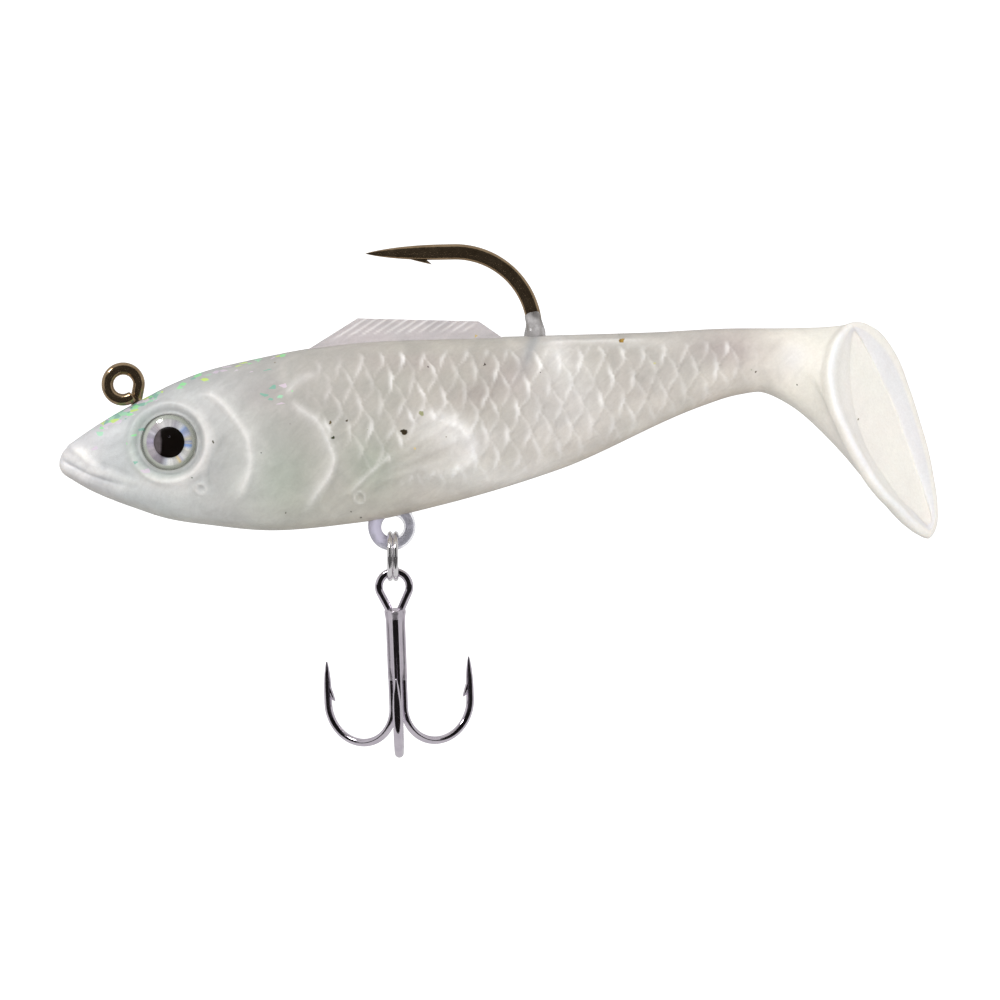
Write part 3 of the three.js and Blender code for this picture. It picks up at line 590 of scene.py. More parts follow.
def lens_material():
    """Clear resin: light passes straight on, and its skin mirrors by Fresnel. Faint smears roughen it."""
    material, tree, principled = shader("clear_lens")
    tree.nodes.remove(principled)
    place = object_place(tree)
    rim = attribute(tree, "rim").outputs["Fac"]
    tint = mixed(tree, rim, (0.985, 0.985, 0.985, 1.0), rgb(214, 214, 210))
    clear = node(tree, "ShaderNodeBsdfTransparent", {"Color": tint})
    smear = mapped(tree, noise(tree, place, 500.0, 2.0), 0.3, 0.7, 0.02, 0.07)
    skin = node(tree, "ShaderNodeBsdfGlossy", {"Color": (1, 1, 1, 1), "Roughness": smear})
    fresnel = node(tree, "ShaderNodeFresnel", {"IOR": 1.5}).outputs["Fac"]
    behind = node(tree, "ShaderNodeNewGeometry").outputs["Backfacing"]
    facing = sums(tree, "MULTIPLY", fresnel, sums(tree, "SUBTRACT", 1.0, behind))
    mix = node(tree, "ShaderNodeMixShader", {"Fac": facing, 1: clear.outputs[0], 2: skin.outputs[0]})
    tree.links.new(mix.outputs[0], tree.nodes["Material Output"].inputs["Surface"])
    return material


def lead_material():
    """Cast lead: dull grey with darker oxide patches."""
    material, tree, principled = shader("cast_lead")
    place = object_place(tree)
    tree.links.new(mixed(tree, noise(tree, place, 260.0, 5.0), rgb(104, 106, 110), rgb(150, 152, 156)),
                   principled.inputs["Base Color"])
    principled.inputs["Metallic"].default_value = 0.8
    principled.inputs["Roughness"].default_value = 0.6
    bumped(tree, principled, noise(tree, place, 900.0), 0.4, 0.0001)
    return material


def foil_material():
    """Flash foil: small random cells in green, gold and lilac."""
    material, tree, principled = shader("flash_foil")
    cells = node(tree, "ShaderNodeTexVoronoi", {"Vector": object_place(tree), "Scale": 1200.0})
    chance = node(tree, "ShaderNodeSeparateColor", {"Color": cells.outputs["Color"]}).outputs["Red"]
    tree.links.new(colour_ramp(tree, chance, [
        (0.0, rgb(120, 230, 150)), (0.3, rgb(220, 236, 120)), (0.55, rgb(190, 220, 240)),
        (0.8, rgb(226, 196, 230))], "CONSTANT"), principled.inputs["Base Color"])
    principled.inputs["Metallic"].default_value = 0.9
    principled.inputs["Roughness"].default_value = 0.25
    return material


PEARL = pearl_material()
BRONZED = plated_metal("bronzed_steel", rgb(206, 180, 146), rgb(120, 98, 72), 0.15, 900.0, 0.945)
BLACK_NICKEL = plated_metal("black_nickel", rgb(246, 238, 246), rgb(206, 198, 212), 0.12)
BRIGHT_NICKEL = plated_metal("bright_nickel", rgb(254, 252, 252), rgb(236, 232, 236), 0.1, 900.0, 0.93)
DULL_WIRE = plated_metal("dull_belly_wire", rgb(160, 160, 170), rgb(112, 112, 122), 0.25)
BRAZE = plated_metal("plated_braze", rgb(244, 236, 244), rgb(200, 192, 204), 0.33, 700.0, 0.9)
CLOUDED = clouded_plastisol("clouded_plastisol", rgb(212, 211, 222), rgb(192, 188, 206), 0.66)
BEAD_PLASTIC = clouded_plastisol("bead_plastisol", rgb(96, 92, 88), rgb(184, 181, 181), 0.42)
EYE_FOIL = eye_material()
PUPIL = pupil_material()
LENS = lens_material()
LEAD = lead_material()
FLASH_FOIL = foil_material()


# ---- the moulded skin: nose, head, body, stem and paddle in one surface ----

back_z = nose_outline(BACK)
belly_z = nose_outline(BELLY)
half_width = nose_outline(HALF_WIDTH)


def section(x, turn):
    """Superellipse rings: x in rows, turn in columns from the top round over +Y."""
    top, bottom = back_z(x), belly_z(x)
    c, s = np.cos(turn), np.sin(turn)
    reach = (np.abs(c) ** FULLNESS + np.abs(s) ** FULLNESS) ** (-1 / FULLNESS)
    y = half_width(x)[:, None] * s * reach
    z = (top + bottom)[:, None] / 2 + (top - bottom)[:, None] / 2 * c * reach
    return np.stack([np.broadcast_to(x[:, None], y.shape), y, z], axis=-1)


PADDLE_UP = np.array([-math.sin(PADDLE_TILT), 0, math.cos(PADDLE_TILT)])
PADDLE_BACK = np.array([math.cos(PADDLE_TILT), 0, math.sin(PADDLE_TILT)])
PADDLE_WIDE = math.cos(PADDLE_TURN) * ACROSS + math.sin(PADDLE_TURN) * PADDLE_BACK
PADDLE_FACING = math.cos(PADDLE_TURN) * PADDLE_BACK - math.sin(PADDLE_TURN) * ACROSS
# About half the paddle's width and height as seen from the side.
PADDLE_STRETCH = np.array([5.3, 13.9])


def paddle_outline(points):
    """A side view outline as (back, up) places by turn: it is stretched to near a circle and read by angle.

    The distance from the middle is a smooth curve through the outline's corners, joined end to end.
    """
    points = upright(points) - [PADDLE_CENTRE[0], 0, PADDLE_CENTRE[2]]
    flat = np.stack([points @ PADDLE_BACK, points @ PADDLE_UP], axis=1) / PADDLE_STRETCH
    turn = np.arctan2(flat[:, 0], flat[:, 1]) % TAU
    order = np.argsort(turn)
    turn, reach = turn[order], np.hypot(*flat[order].T)
    knots = np.concatenate([turn - TAU, turn, turn + TAU])
    curve = smooth_through(list(zip(knots, np.tile(reach, 3))))

    def place(turn):
        turn = np.asarray(turn) % TAU
        return curve(turn)[:, None] * np.stack([np.sin(turn), np.cos(turn)], axis=1) * PADDLE_STRETCH

    return place


# Across the paddle, from the front of its rim over the edge and the crest to the middle of the face:
# place, shares of the rim, crest and floor outlines, and depth along the way the paddle faces.
PADDLE_ACROSS = [
    (0.0, 0.985, 0.0, 0.0, -1.3), (0.09, 0.995, 0.0, 0.0, -0.8), (0.17, 1.0, 0.0, 0.0, -0.2),
    (0.24, 0.55, 0.45, 0.0, 0.28), (0.3, 0.1, 0.9, 0.0, 0.44), (0.36, 0.0, 0.86, 0.14, 0.34),
    (0.42, 0.0, 0.72, 0.28, 0.15), (0.48, 0.0, 0.52, 0.48, 0.04), (0.6, 0.0, 0.12, 0.88, -0.3),
    (0.655, 0.0, 0.0, 0.99, -0.46), (0.71, 0.0, 0.0, 0.9, -0.52), (1.0, 0.0, 0.0, 0.02, -0.52),
]
PADDLE_PLACES = np.concatenate([np.linspace(0, 0.72, 60)[1:], np.linspace(0.72, 1, 14)[1:]])
# The rows before and after the front of the rim that are softened, and how many times.
SOFT_ROWS_BEFORE, SOFT_ROWS_AFTER, SOFT_PASSES = 14, 46, 60


def paddle_rings(place, turn):
    """Rings of the paddle at places along that path: a blend of the three outlines, moved out by the depth.

    The crest stands up on the side towards the stem, and is a quarter as high on the other side. The
    outlines are as seen from the side, and the paddle is turned away from that view. So the width along the
    paddle is the seen width, less what the depth adds to it, over the sine of the turn.
    """
    places, *shares = np.array(PADDLE_ACROSS).T
    rim, crest, floor, depth = (smooth_through(list(zip(places, share)))(place) for share in shares)
    outlines = [paddle_outline(points)(turn) for points in (PADDLE_RIM, PADDLE_CREST, PADDLE_FLOOR)]
    flat = sum(share[:, None, None] * outline for share, outline in zip((rim, crest, floor), outlines))
    stem_side = 0.25 + 0.75 * ramp(0.45, -0.35, np.sin(turn))
    depth = np.where(depth[:, None] > 0, depth[:, None] * stem_side, depth[:, None])
    seen_depth = depth * ramp(0.17, 0.24, place)[:, None]
    wide = (flat[..., 0] - math.cos(PADDLE_TURN) * seen_depth) / math.sin(PADDLE_TURN)
    return (PADDLE_CENTRE + flat[..., 1:] * PADDLE_UP + wide[..., None] * PADDLE_WIDE
            + depth[..., None] * PADDLE_FACING)


def skin_rows(turn):
    """The whole moulding as one grid, and which of its rows are body rather than boot or paddle.

    The boot slides from the stem's rings to the paddle's front rim with the square of the way. Then each row
    near the rim moves half way to the mean of its two neighbours, many times, which rounds rim and crest.
    """
    head = NOSE_X + 0.03 + (21 - NOSE_X) * np.linspace(0, 1, 118) ** 1.35
    flank = np.arange(head[-1] + 0.255, BOOT_START_X, 0.255)
    body = section(np.concatenate([head, flank]), turn)
    way = np.linspace(0, 1, 42)[1:]
    stem = section(BOOT_START_X + BOOT_LENGTH * way, turn)
    front_rim = paddle_rings(np.array([0.0]), turn)
    boot = stem + (front_rim - stem) * (way ** 2)[:, None, None]
    rows = np.concatenate([body, boot, paddle_rings(PADDLE_PLACES, turn)])
    joint = len(body) + len(boot)
    first, last = joint - SOFT_ROWS_BEFORE, joint + SOFT_ROWS_AFTER
    for _ in range(SOFT_PASSES):
        neighbours = rows[first - 1:last - 1] + rows[first + 1:last + 1]
        rows[first:last] += 0.25 * (neighbours - 2 * rows[first:last])
    return rows, np.arange(len(rows)) < len(body)


# Moulded marks of the flank, as lines of (x, z) in side view.
# The colour that painted highlights lighten the skin towards.
PAINTED_HIGHLIGHT_TONE = rgb(242, 240, 236)[:3]
EYE_PLACE = (EYE_X - 0.15, EYE_Z)
CHEEK_RIDGE = route([(9.2, -0.9), (10.9, -1.3), (13.5, -3.5), (15.9, -7.4), (16.1, -9.6), (15.4, -12.3),
                     (13.6, -15.6)], 60)
CHEEK_GROOVE = route([(13.2, -5.6), (12.7, -6.8), (11.4, -9.0), (10.8, -11.3), (10.7, -13.9)], 40)
GILL_EDGE = route([(20.6, -1.4), (21.9, -2.8), (24.5, -4.7), (25.95, -7.5), (26.5, -9.4), (25.96, -11.3),
                   (24.0, -14.15), (22.3, -16.8)], 70)
GILL_CORNER = route([(20.9, -2.0), (21.1, -0.9), (22.1, 0.3), (23.6, 1.0), (24.4, 0.5)], 30)
LIP = route([(-7.8, -9.4), (-6.3, -10.2), (-4.2, -11.3), (-1.0, -12.3), (3.5, -13.2)], 50)
UPPER_LIP = route([(-6.3, -7.9), (-5.0, -8.9), (-3.7, -9.9), (-2.2, -10.3)], 30)
SNOUT_FOLD = route([(-4.6, -8.8), (-3.0, -9.9), (0.0, -11.0), (2.2, -11.9)], 30)
FIN_LEAF = route([
    (28.3, -13.7), (30.5, -11.4), (32.8, -9.4), (34.8, -7.4), (38.2, -3.9), (42.3, -5.5), (43.8, -7.8),
    (43.1, -9.6), (41.8, -10.5), (34.8, -12.0), (30.9, -13.9), (28.3, -13.7)], 160)
FIN_TOP = route([(28.3, -13.7), (30.5, -11.4), (32.8, -9.4), (34.8, -7.7)], 40)
FIN_END = route([(39.0, -4.2), (42.3, -5.5), (43.8, -7.8), (43.1, -9.6), (41.8, -10.5), (36.0, -11.8),
                 (31.5, -13.6)], 80)
# Creases along a line: the share of the line over which it fades in, the shares where it has faded out and
# where that begins, then (height, distance from the line, width) of its relief, and the same of its painted
# light:
# painted highlight where positive, painted shade where negative.
CREASES = [
    (FIN_END, 0.1, (0.95, 0.35), [(0.34, 0, 0.75)], [(0.32, 0, 0.7)]),
    (CHEEK_RIDGE, 0.15, (1.0, 0.8), [(0.38, 0, 0.55)], [(0.42, 0, 0.5), (0.25, 0, 1.5)]),
    (CHEEK_GROOVE, 0.25, (1.0, 0.8), [(-0.24, 0, 0.3)], [(-0.14, 0, 0.24)]),
    (GILL_CORNER, 0.2, (1.0, 0.8), [(0.16, 0, 0.45)], [(0.36, 0, 0.5)]),
    (LIP, None, (1.0, 0.35), [(-0.2, 0, 0.24), (0.1, 0.75, 0.45)], [(0.3, 0.7, 0.4), (-0.08, 0, 0.22)]),
    (UPPER_LIP, None, (1.0, 0.7), [(0.24, 0, 0.55)], []),
    (UPPER_LIP, 0.2, (1.0, 0.7), [], [(0.55, 0, 0.5)]),
    (SNOUT_FOLD, 0.2, (1.0, 0.7), [(-0.1, 0, 0.42)], []),
]
# Marks of the ejector pins: x, z and radius.
PIN_MARKS = [(9.9, -13.03, 0.62), (29.6, -14.1, 0.68)]
# Painted highlights, soft and broad, on the pearl: x, z, half length, half height, and how much.
PAINTED_SHEENS = [
    (-4.8, -8.6, 1.7, 0.9, 0.5), (-3.2, -11.0, 2.4, 0.5, 0.35), (2.6, -12.6, 4.0, 1.2, 0.3),
    (7.6, -13.2, 2.0, 1.0, 0.3),
    (38.0, -6.0, 3.4, 1.5, 0.3), (41.6, -6.6, 2.4, 2.2, 0.55), (39.0, -4.0, 2.8, 1.0, 0.45),
    (43.5, -8.6, 1.4, 2.0, 0.3), (46.0, -6.6, 1.8, 2.0, 0.26), (46.0, -11.6, 9.0, 2.2, 0.5),
    (54.2, 3.4, 1.6, 2.6, 0.5), (56.5, -1.0, 3.6, 4.0, 0.3), (63.0, 5.0, 5.0, 0.7, 0.2),
    (60.0, -5.5, 9.0, 2.6, 0.16), (83.4, 3.4, 1.5, 1.5, 0.85), (81.8, 2.4, 2.6, 3.2, 0.35),
]
# The scales' spacing along a row and between rows, the rows' rise per millimetre, and one scale's place.
SCALE_PITCH, SCALE_ROW, SCALE_RISE = 2.6, 2.77, 0.113
SCALE_AT = (32.6, -2.6)
# The scales' lower edge.
SCALE_FLOOR = smooth_through([
    (20, -3.5), (28, -9), (36, -13), (47, -11.6), (59, -8.2), (72, -2.4), (80, 0.4)])


def inside(outline, x, z):
    """True where a point lies inside a closed outline, by counting the edges to its right."""
    ax, az = outline[:-1].T
    bx, bz = outline[1:].T
    spans = (az > z[..., None]) != (bz > z[..., None])
    rise = np.where(bz == az, 1e-9, bz - az)
    crossing = ax + (z[..., None] - az) * (bx - ax) / rise
    return (spans & (x[..., None] < crossing)).sum(-1) % 2 == 1


def scales(x, z):
    """Overlapping scales: each is a leaf that rises towards its rear edge, a tall arc.

    Leaves stand in rows, every other row set off by half a pitch. An arc falls back by half a pitch over the
    height of a row, so the arcs cross in a net of tall diamonds. The leaf whose edge is nearest behind shows.
    Gives the height, 0 to 1, and the painted highlight: how near each place is to the shining part of its
    leaf's edge.
    """
    x, z = (x + 0.12 * np.sin(1.7 * z + 0.4 * x) + 0.05 * np.sin(3.9 * z - 0.9 * x),
            z + 0.12 * np.sin(1.3 * x + 0.7 * z))
    across = (z - SCALE_AT[1] - SCALE_RISE * (x - SCALE_AT[0])) / SCALE_ROW
    height = np.full(x.shape, -1.0)
    shine = np.zeros(x.shape)
    for step in (-1, 0, 1):
        row = np.round(across) + step
        off = np.abs(across - row)
        shift = SCALE_AT[0] + np.mod(row, 2) * SCALE_PITCH / 2
        for ahead in (-1, 0, 1, 2):
            number = np.round((x - shift) / SCALE_PITCH) + ahead
            behind = shift + number * SCALE_PITCH - 0.5 * SCALE_PITCH * off ** 1.45 - x
            leaf = np.where((behind > -0.1) & (off < 1.15), 1 - np.clip(behind, 0, 9) / 3.4, -1.0)
            leaf = leaf - ramp(0.0, -0.1, behind) * 0.25 - 0.1 * ramp(0.5, 1.1, off)
            luck = np.mod(np.sin(row * 12.99 + number * 78.23) * 437.585, 1.0)
            heart = ramp(0.85, 0.15, off)
            # Painted highlight along the leaf's rear edge, brightest in its middle and uneven from leaf to
            # leaf.
            glint = bump(behind - 0.16, 0.13 + 0.2 * heart) * (0.3 + (0.25 + 0.75 * luck) * heart)
            top = leaf > height
            shine = np.where(top, glint, shine)
            height = np.where(top, leaf, height)
    return np.clip(height, 0, 1), shine


def scale_zone(x, z, in_leaf):
    """Where the scales stand, 0 to 1: behind the gill, below the back, above the belly, off the side fin."""
    under_back = back_z(x) - z
    zone = (ramp(21.5, 27.0, x - 0.1 * (z + 6)) * ramp(80.0, 75.0, x) * ramp(1.2, 2.4, under_back)
            * ramp(-0.8, 2.2, z - SCALE_FLOOR(x)))
    return zone * (1 - 0.93 * in_leaf) * ramp(28.5, 31.5, x + 0.9 * (z + 11))


def side_fin(x, z, leaf_gap, inside_leaf):
    """The side fin's lifted leaf, its top ridge and its rays, which spread from the fin's root, with a
    painted highlight along the ridge and on the rays.
    """
    in_leaf = np.where(inside_leaf, ramp(0, 0.8, leaf_gap), 0.0)
    height = 0.3 * in_leaf * ramp(28.0, 36.0, x)
    gap, way = distance_to(FIN_TOP, x, z)
    height += 0.28 * bump(gap, 0.36) * (1 - 0.4 * way)
    # Painted highlight along the top ridge.
    painted_light = 0.4 * bump(gap, 0.26) * ramp(0, 0.2, way) * ramp(1.0, 0.6, way)
    rays = np.sin(np.arctan2(z + 13.7, x - 27.0) * 46)
    in_rays = np.where(inside_leaf, ramp(0.2, 1.2, leaf_gap), 0) * ramp(31.0, 36.0, x)
    return height + 0.04 * rays * in_rays, painted_light + 0.1 * np.maximum(rays, 0) * in_rays


def gill_edge(x, z):
    """The gill plate's rear edge: the plate rises slowly towards it from the head, then drops off sharply. A
    painted highlight lies along the edge and, fainter and broader, ahead of it.
    """
    gap, way = distance_to(GILL_EDGE, x, z)
    ahead = x < np.interp(z, GILL_EDGE[::-1, 1], GILL_EDGE[::-1, 0])
    fade = ramp(0, 0.15, way) * ramp(1.0, 0.8, way)
    height = np.where(ahead, 0.38 * np.exp(-gap / 1.3), 0.38 * bump(gap, 0.4)) * fade
    return height, (0.42 * bump(gap, 0.5) + 0.2 * np.where(ahead, bump(gap, 1.5), 0)) * fade


def eye_socket(x, z):
    """A ring raised round the eye, a groove inside it, and the pocket that the lens sits in. A painted
    highlight lies on the ring, brightest behind and below the eye, and painted shade in the groove.
    """
    radius = np.hypot(x - EYE_PLACE[0], z - EYE_PLACE[1])
    lean = np.arctan2(z - EYE_PLACE[1], x - EYE_PLACE[0])
    height = bump(radius - 4.85, 0.5) * (0.4 + 0.2 * np.cos(lean + 0.7))
    height = height - 0.34 * bump(radius - 4.05, 0.28) - 1.45 * ramp(3.62, 3.3, radius)
    painted_light = bump(radius - 5.0, 0.75) * (0.42 + 0.4 * np.cos(lean + 0.75))
    return height, painted_light - 0.22 * bump(radius - 4.1, 0.25)


def relief(x, z):
    """Every moulded mark of the body by its side view place: height in millimetres over the smooth form, and
    painted light: above 0, the share by which the tone is lightened towards a painted highlight there, and
    below 0, painted shade that darkens it."""
    leaf_gap, _ = distance_to(FIN_LEAF, x, z)
    inside_leaf = inside(FIN_LEAF, x, z)
    zone = scale_zone(x, z, np.where(inside_leaf, ramp(0, 0.8, leaf_gap), 0.0))
    scale, shine = scales(x, z)
    patchy = 0.62 + 0.38 * np.sin(0.9 * x + 0.6 * z) * np.sin(0.5 * x - 1.3 * z + 1.0)
    height = 0.23 * zone * scale
    # Painted highlight along the scales' edges, uneven in patches; the scaled part is a little darker.
    painted_light = 0.85 * zone * shine * patchy - 0.03 * zone
    for more_height, more_painted_light in (side_fin(x, z, leaf_gap, inside_leaf), gill_edge(x, z), eye_socket(x, z)):
        height += more_height
        painted_light += more_painted_light
    # Each crease's relief, with painted highlight where its share is positive and painted shade where it is
    # negative.
    for line, faded_in, fading_out, raised, shining in CREASES:
        gap, way = distance_to(line, x, z)
        fade = ramp(*fading_out, way)
        if faded_in:
            fade = fade * ramp(0, faded_in, way)
        height += fade * sum(much * bump(gap - offset, wide) for much, offset, wide in raised)
        painted_light += fade * sum(much * bump(gap - offset, wide) for much, offset, wide in shining)
    # The cheek plate is a low dome.
    height += 0.3 * bump(np.hypot((x - 13.7) / 1.6, (z + 9.4) / 4.0), 1.0)
    # Each pin mark is a low ring round a dimple, with a painted highlight on the ring.
    for at_x, at_z, size in PIN_MARKS:
        spot = np.hypot(x - at_x, z - at_z)
        height += 0.2 * bump(spot - size, 0.15) - 0.12 * bump(spot, size * 0.6)
        painted_light += 0.35 * bump(spot - size, 0.16)
    # A raised line runs under the back behind the hook, with a painted highlight along it.
    stripe = bump(back_z(x) - z - 0.95, 0.26) * ramp(51.5, 54.0, x) * ramp(66.0, 62.0, x)
    height += 0.2 * stripe
    painted_light += 0.35 * stripe
    # Soft broad painted highlights.
    for at_x, at_z, long, tall, much in PAINTED_SHEENS:
        painted_light += much * bump(np.hypot((x - at_x) / long, (z - at_z) / tall), 1.0)
    return height, painted_light


# Stains in the plastic: x, z, half length, half height and strength. Green ones, then lilac ones.
GREEN_STAINS = [(20.5, -11.6, 4.4, 5.4, 1.0), (31.0, -10.3, 3.4, 3.4, 1.1)]
LILAC_STAINS = [(17.5, -1.0, 3.2, 2.2, 1.0), (48.0, 1.0, 3.6, 2.6, 1.0), (75.0, 4.2, 4.2, 1.6, 1.1),
                (37.0, 2.6, 7.0, 1.2, 1.0), (43.5, -1.6, 3.0, 1.6, 1.0)]


def stained(x, z, stains):
    """The sum of soft oval stains, each a bell over its own length and height."""
    return sum(much * bump(np.hypot((x - at_x) / long, (z - at_z) / tall), 1.0)
               for at_x, at_z, long, tall, much in stains)


def pigment(x, z):
    """Base tone by place: cool grey pearl on the head, warmer and lighter towards the tail.

    Stains, the hook's bend showing grey through the plastic below its bead, and the cool tint of a painted
    highlight on the boot change it. Painted light lightens the flank where it turns down to the belly, and
    the very edge is darker and warmer.
    """
    at = [(-8, (226, 225, 226)), (-4, (211, 212, 213)), (1, (197, 200, 200)), (12, (190, 191, 188)),
          (22, (184, 181, 174)), (34, (187, 183, 174)), (46, (191, 186, 177)), (52, (199, 195, 188)),
          (60, (190, 185, 177)), (68, (194, 189, 182)), (77, (196, 190, 182)), (83, (233, 228, 217)),
          (92, (238, 235, 226)), (103, (240, 238, 232))]
    places = [place for place, _ in at]
    tone = np.stack([np.interp(x, places, [rgb(*colour)[k] for _, colour in at]) for k in range(3)], axis=-1)
    round_eye = 0.8 * bump(np.hypot(x - 5.6, z + 7.6) - 4.3, 0.7) * ramp(7.5, 3.5, x + 0.6 * (z + 7))
    green = stained(x, z, GREEN_STAINS) + round_eye
    tone = tone * (1 - green[..., None] * np.array([0.14, 0.06, 0.12]))
    tone = tone * (1 - stained(x, z, LILAC_STAINS)[..., None] * np.array([0.1, 0.135, 0.115]))
    shadow = bump((x - 51.0 - 0.33 * (z - 5)) / 0.75, 1.0) * ramp(-0.5, 4.5, z)
    tone = tone * (1 - shadow[..., None] * np.array([0.26, 0.23, 0.17]))
    # The cool tint of the painted highlight on the boot.
    cool = bump(np.hypot((x - 83.4) / 1.7, (z - 3.3) / 1.8), 1.0)
    tone = tone * (1 + cool[..., None] * np.array([0.0, 0.02, 0.08]))
    # Painted light: the flank is lightened where it turns down to the belly.
    over_belly = z - belly_z(np.clip(x, NOSE_X, BOOT_START_X))
    painted_underside_light = ramp(7.0, 1.0, over_belly) * ramp(82, 76, x) * ramp(-6, 6, x)
    tone = tone * (1 + painted_underside_light[..., None] * np.array([0.2, 0.2, 0.185]))
    rim = ramp(1.2, 0.1, over_belly) * ramp(82, 76, x)
    tone = tone * (1 - rim[..., None] * np.array([0.05, 0.08, 0.13]))
    return np.clip(tone, 0, 1)


def fleck_zone(x, z):
    """How much of the flash foil shows through: along the top of the head and faintly round the eye."""
    under_back = back_z(np.clip(x, NOSE_X, BOOT_START_X)) - z
    crown = 0.85 * bump(under_back - 0.3, 1.0) * (ramp(-4.2, -1.6, x) * ramp(5.8, 3.4, x))
    spine = 0.2 * bump(under_back, 0.9) * ramp(5, 9, x) * ramp(22, 18, x)
    ring = 0.12 * bump(np.hypot(x - 5.6, z + 7.4) - 4.2, 0.5) * ramp(4.5, 2.4, x)
    patch = 0.14 * bump(np.hypot((x - 19.3) / 1.6, (z + 1.2) / 0.9), 1.0)
    return crown + spine + ring + patch


def paddle_tone(place, turn):
    """Tones over the paddle: a painted highlight on the crest and painted shade in a groove inside it, both
    on the side towards the stem; cool painted shade on the bevel, mostly on the other side; and a cream
    floor.
    """
    towards_stem = ramp(0.25, -0.35, np.sin(turn))[None, :]
    place = place[:, None]
    # Painted shade, cool grey, on the bevel.
    bevel = (ramp(0.33, 0.4, place) * ramp(0.68, 0.58, place) * (1 - 0.8 * towards_stem))[..., None]
    # Painted highlight on the crest.
    crest = (bump(place - 0.28, 0.08) * towards_stem)[..., None]
    # Painted shade in the groove inside the crest.
    groove = (bump(place - 0.42, 0.05) * towards_stem)[..., None]
    tone = np.array(rgb(243, 240, 232)[:3])
    tone = tone + (np.array(rgb(232, 231, 231)[:3]) - tone) * bevel
    tone = tone + (np.array(rgb(241, 241, 240)[:3]) - tone) * crest
    return tone * (1 - 0.045 * groove)


def build_skin():
    """The moulding's smooth form, moved out along its normals by the relief, with its tones, painted
    highlights and painted shade stored on it.

    The relief is drawn in side view, so it fades where the skin turns edge on, at the back and the belly.
    Columns are closer together on the flanks, which carry the marks.
    """
    columns = 208
    even_turn = np.linspace(0, TAU, columns, endpoint=False)
    turn = even_turn + 0.17 * np.sin(2 * even_turn)
    grid, is_body = skin_rows(turn)
    along = np.gradient(grid, axis=0)
    around = np.roll(grid, -1, axis=1) - np.roll(grid, 1, axis=1)
    normal = np.cross(along, around)
    normal /= np.maximum(np.linalg.norm(normal, axis=-1, keepdims=True), 1e-9)
    outward = np.sign((normal * (grid - grid.mean(1, keepdims=True))).sum((1, 2)).mean())
    x, y, z = (grid[..., k].copy() for k in range(3))
    flank = is_body[:, None] * ramp(0.02, 0.3, np.abs(y) / np.maximum(half_width(x), 0.3))
    height, painted_light = (mark * flank * ramp(NOSE_X, NOSE_X + 0.8, x) for mark in relief(x, z))
    finished = grid + outward * normal * height[..., None]
    rest = np.stack([x, y, z], axis=-1)
    tone = pigment(x, z)
    rows = len(PADDLE_PLACES)
    on_paddle = ramp(0.12, 0.24, PADDLE_PLACES)[:, None, None]
    tone[-rows:] += (paddle_tone(PADDLE_PLACES, turn) - tone[-rows:]) * on_paddle
    # Painted highlights lighten the tone towards the highlight colour, and painted shade darkens it.
    shining = np.clip(painted_light, 0, 1)[..., None]
    tone = tone + (np.array(PAINTED_HIGHLIGHT_TONE) - tone) * shining + np.minimum(painted_light, 0)[..., None] * tone
    skin = surface("moulded_skin", finished, PEARL,
                   {"rest": rest, "tone": tone, "fleck": fleck_zone(x, z)})
    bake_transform(skin)
    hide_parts("soft_body", "soft_tail")


def build_back_fin():
    """A blade over the back with leaning rays: round-topped across, and along it the fin's outline.

    Its sides spread into the back towards the foot, and each ray swells the blade by a sine of the place
    along it.
    """
    x = np.linspace(BACK_FIN[0][0], BACK_FIN[-1][0], 330)
    crest = np.interp(x, *np.array(BACK_FIN).T)
    crest = np.maximum(crest, back_z(x) - 0.4)
    foot = back_z(x) - 1.3
    across = np.linspace(-1, 1, 61)
    level = 1 - np.abs(across) ** 3.0
    z = foot[:, None] + (crest - foot)[:, None] * level
    high = np.clip(z - back_z(x)[:, None], 0, 9)
    thick = 0.42 + 0.85 * np.exp(-high / 0.5)
    y = np.sign(across) * np.minimum(np.abs(across) * 3.0, 1.0) * thick
    slope = x[:, None] - 1.55 * (z - 5.0)
    rays = np.maximum(np.sin(slope * TAU / 1.32), -0.3) * ramp(0.3, 1.2, high) * ramp(0, 0.3, np.abs(y))
    rays = rays * ramp(44.6, 42.5, x)[:, None]
    y = y + np.sign(across) * 0.06 * rays
    under = np.stack([np.broadcast_to(x[:, None], (len(x), 9)),
                      np.linspace(y[:, -1], y[:, 0], 11, axis=1)[:, 1:-1],
                      np.broadcast_to(foot[:, None] - 0.15, (len(x), 9))], axis=-1)
    ring = np.concatenate([np.stack([np.broadcast_to(x[:, None], y.shape), y, z], axis=-1), under], axis=1)
    # Painted highlight on the fin's rays, stronger towards the top.
    shining = np.zeros(ring.shape[:2] + (1,))
    shining[:, :y.shape[1], 0] = np.clip(rays, 0, 1) * 0.5 * ramp(0.4, 1.1, high)
    base = np.array(rgb(190, 184, 184)[:3])
    tone = base + (np.array(PAINTED_HIGHLIGHT_TONE) - base) * shining
    fin = surface("back_fin", ring, PEARL,
                  {"rest": ring, "tone": tone, "fleck": np.zeros(ring.shape[:2])})
    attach(fin, "body")


# ---- jig hook and its bead ----

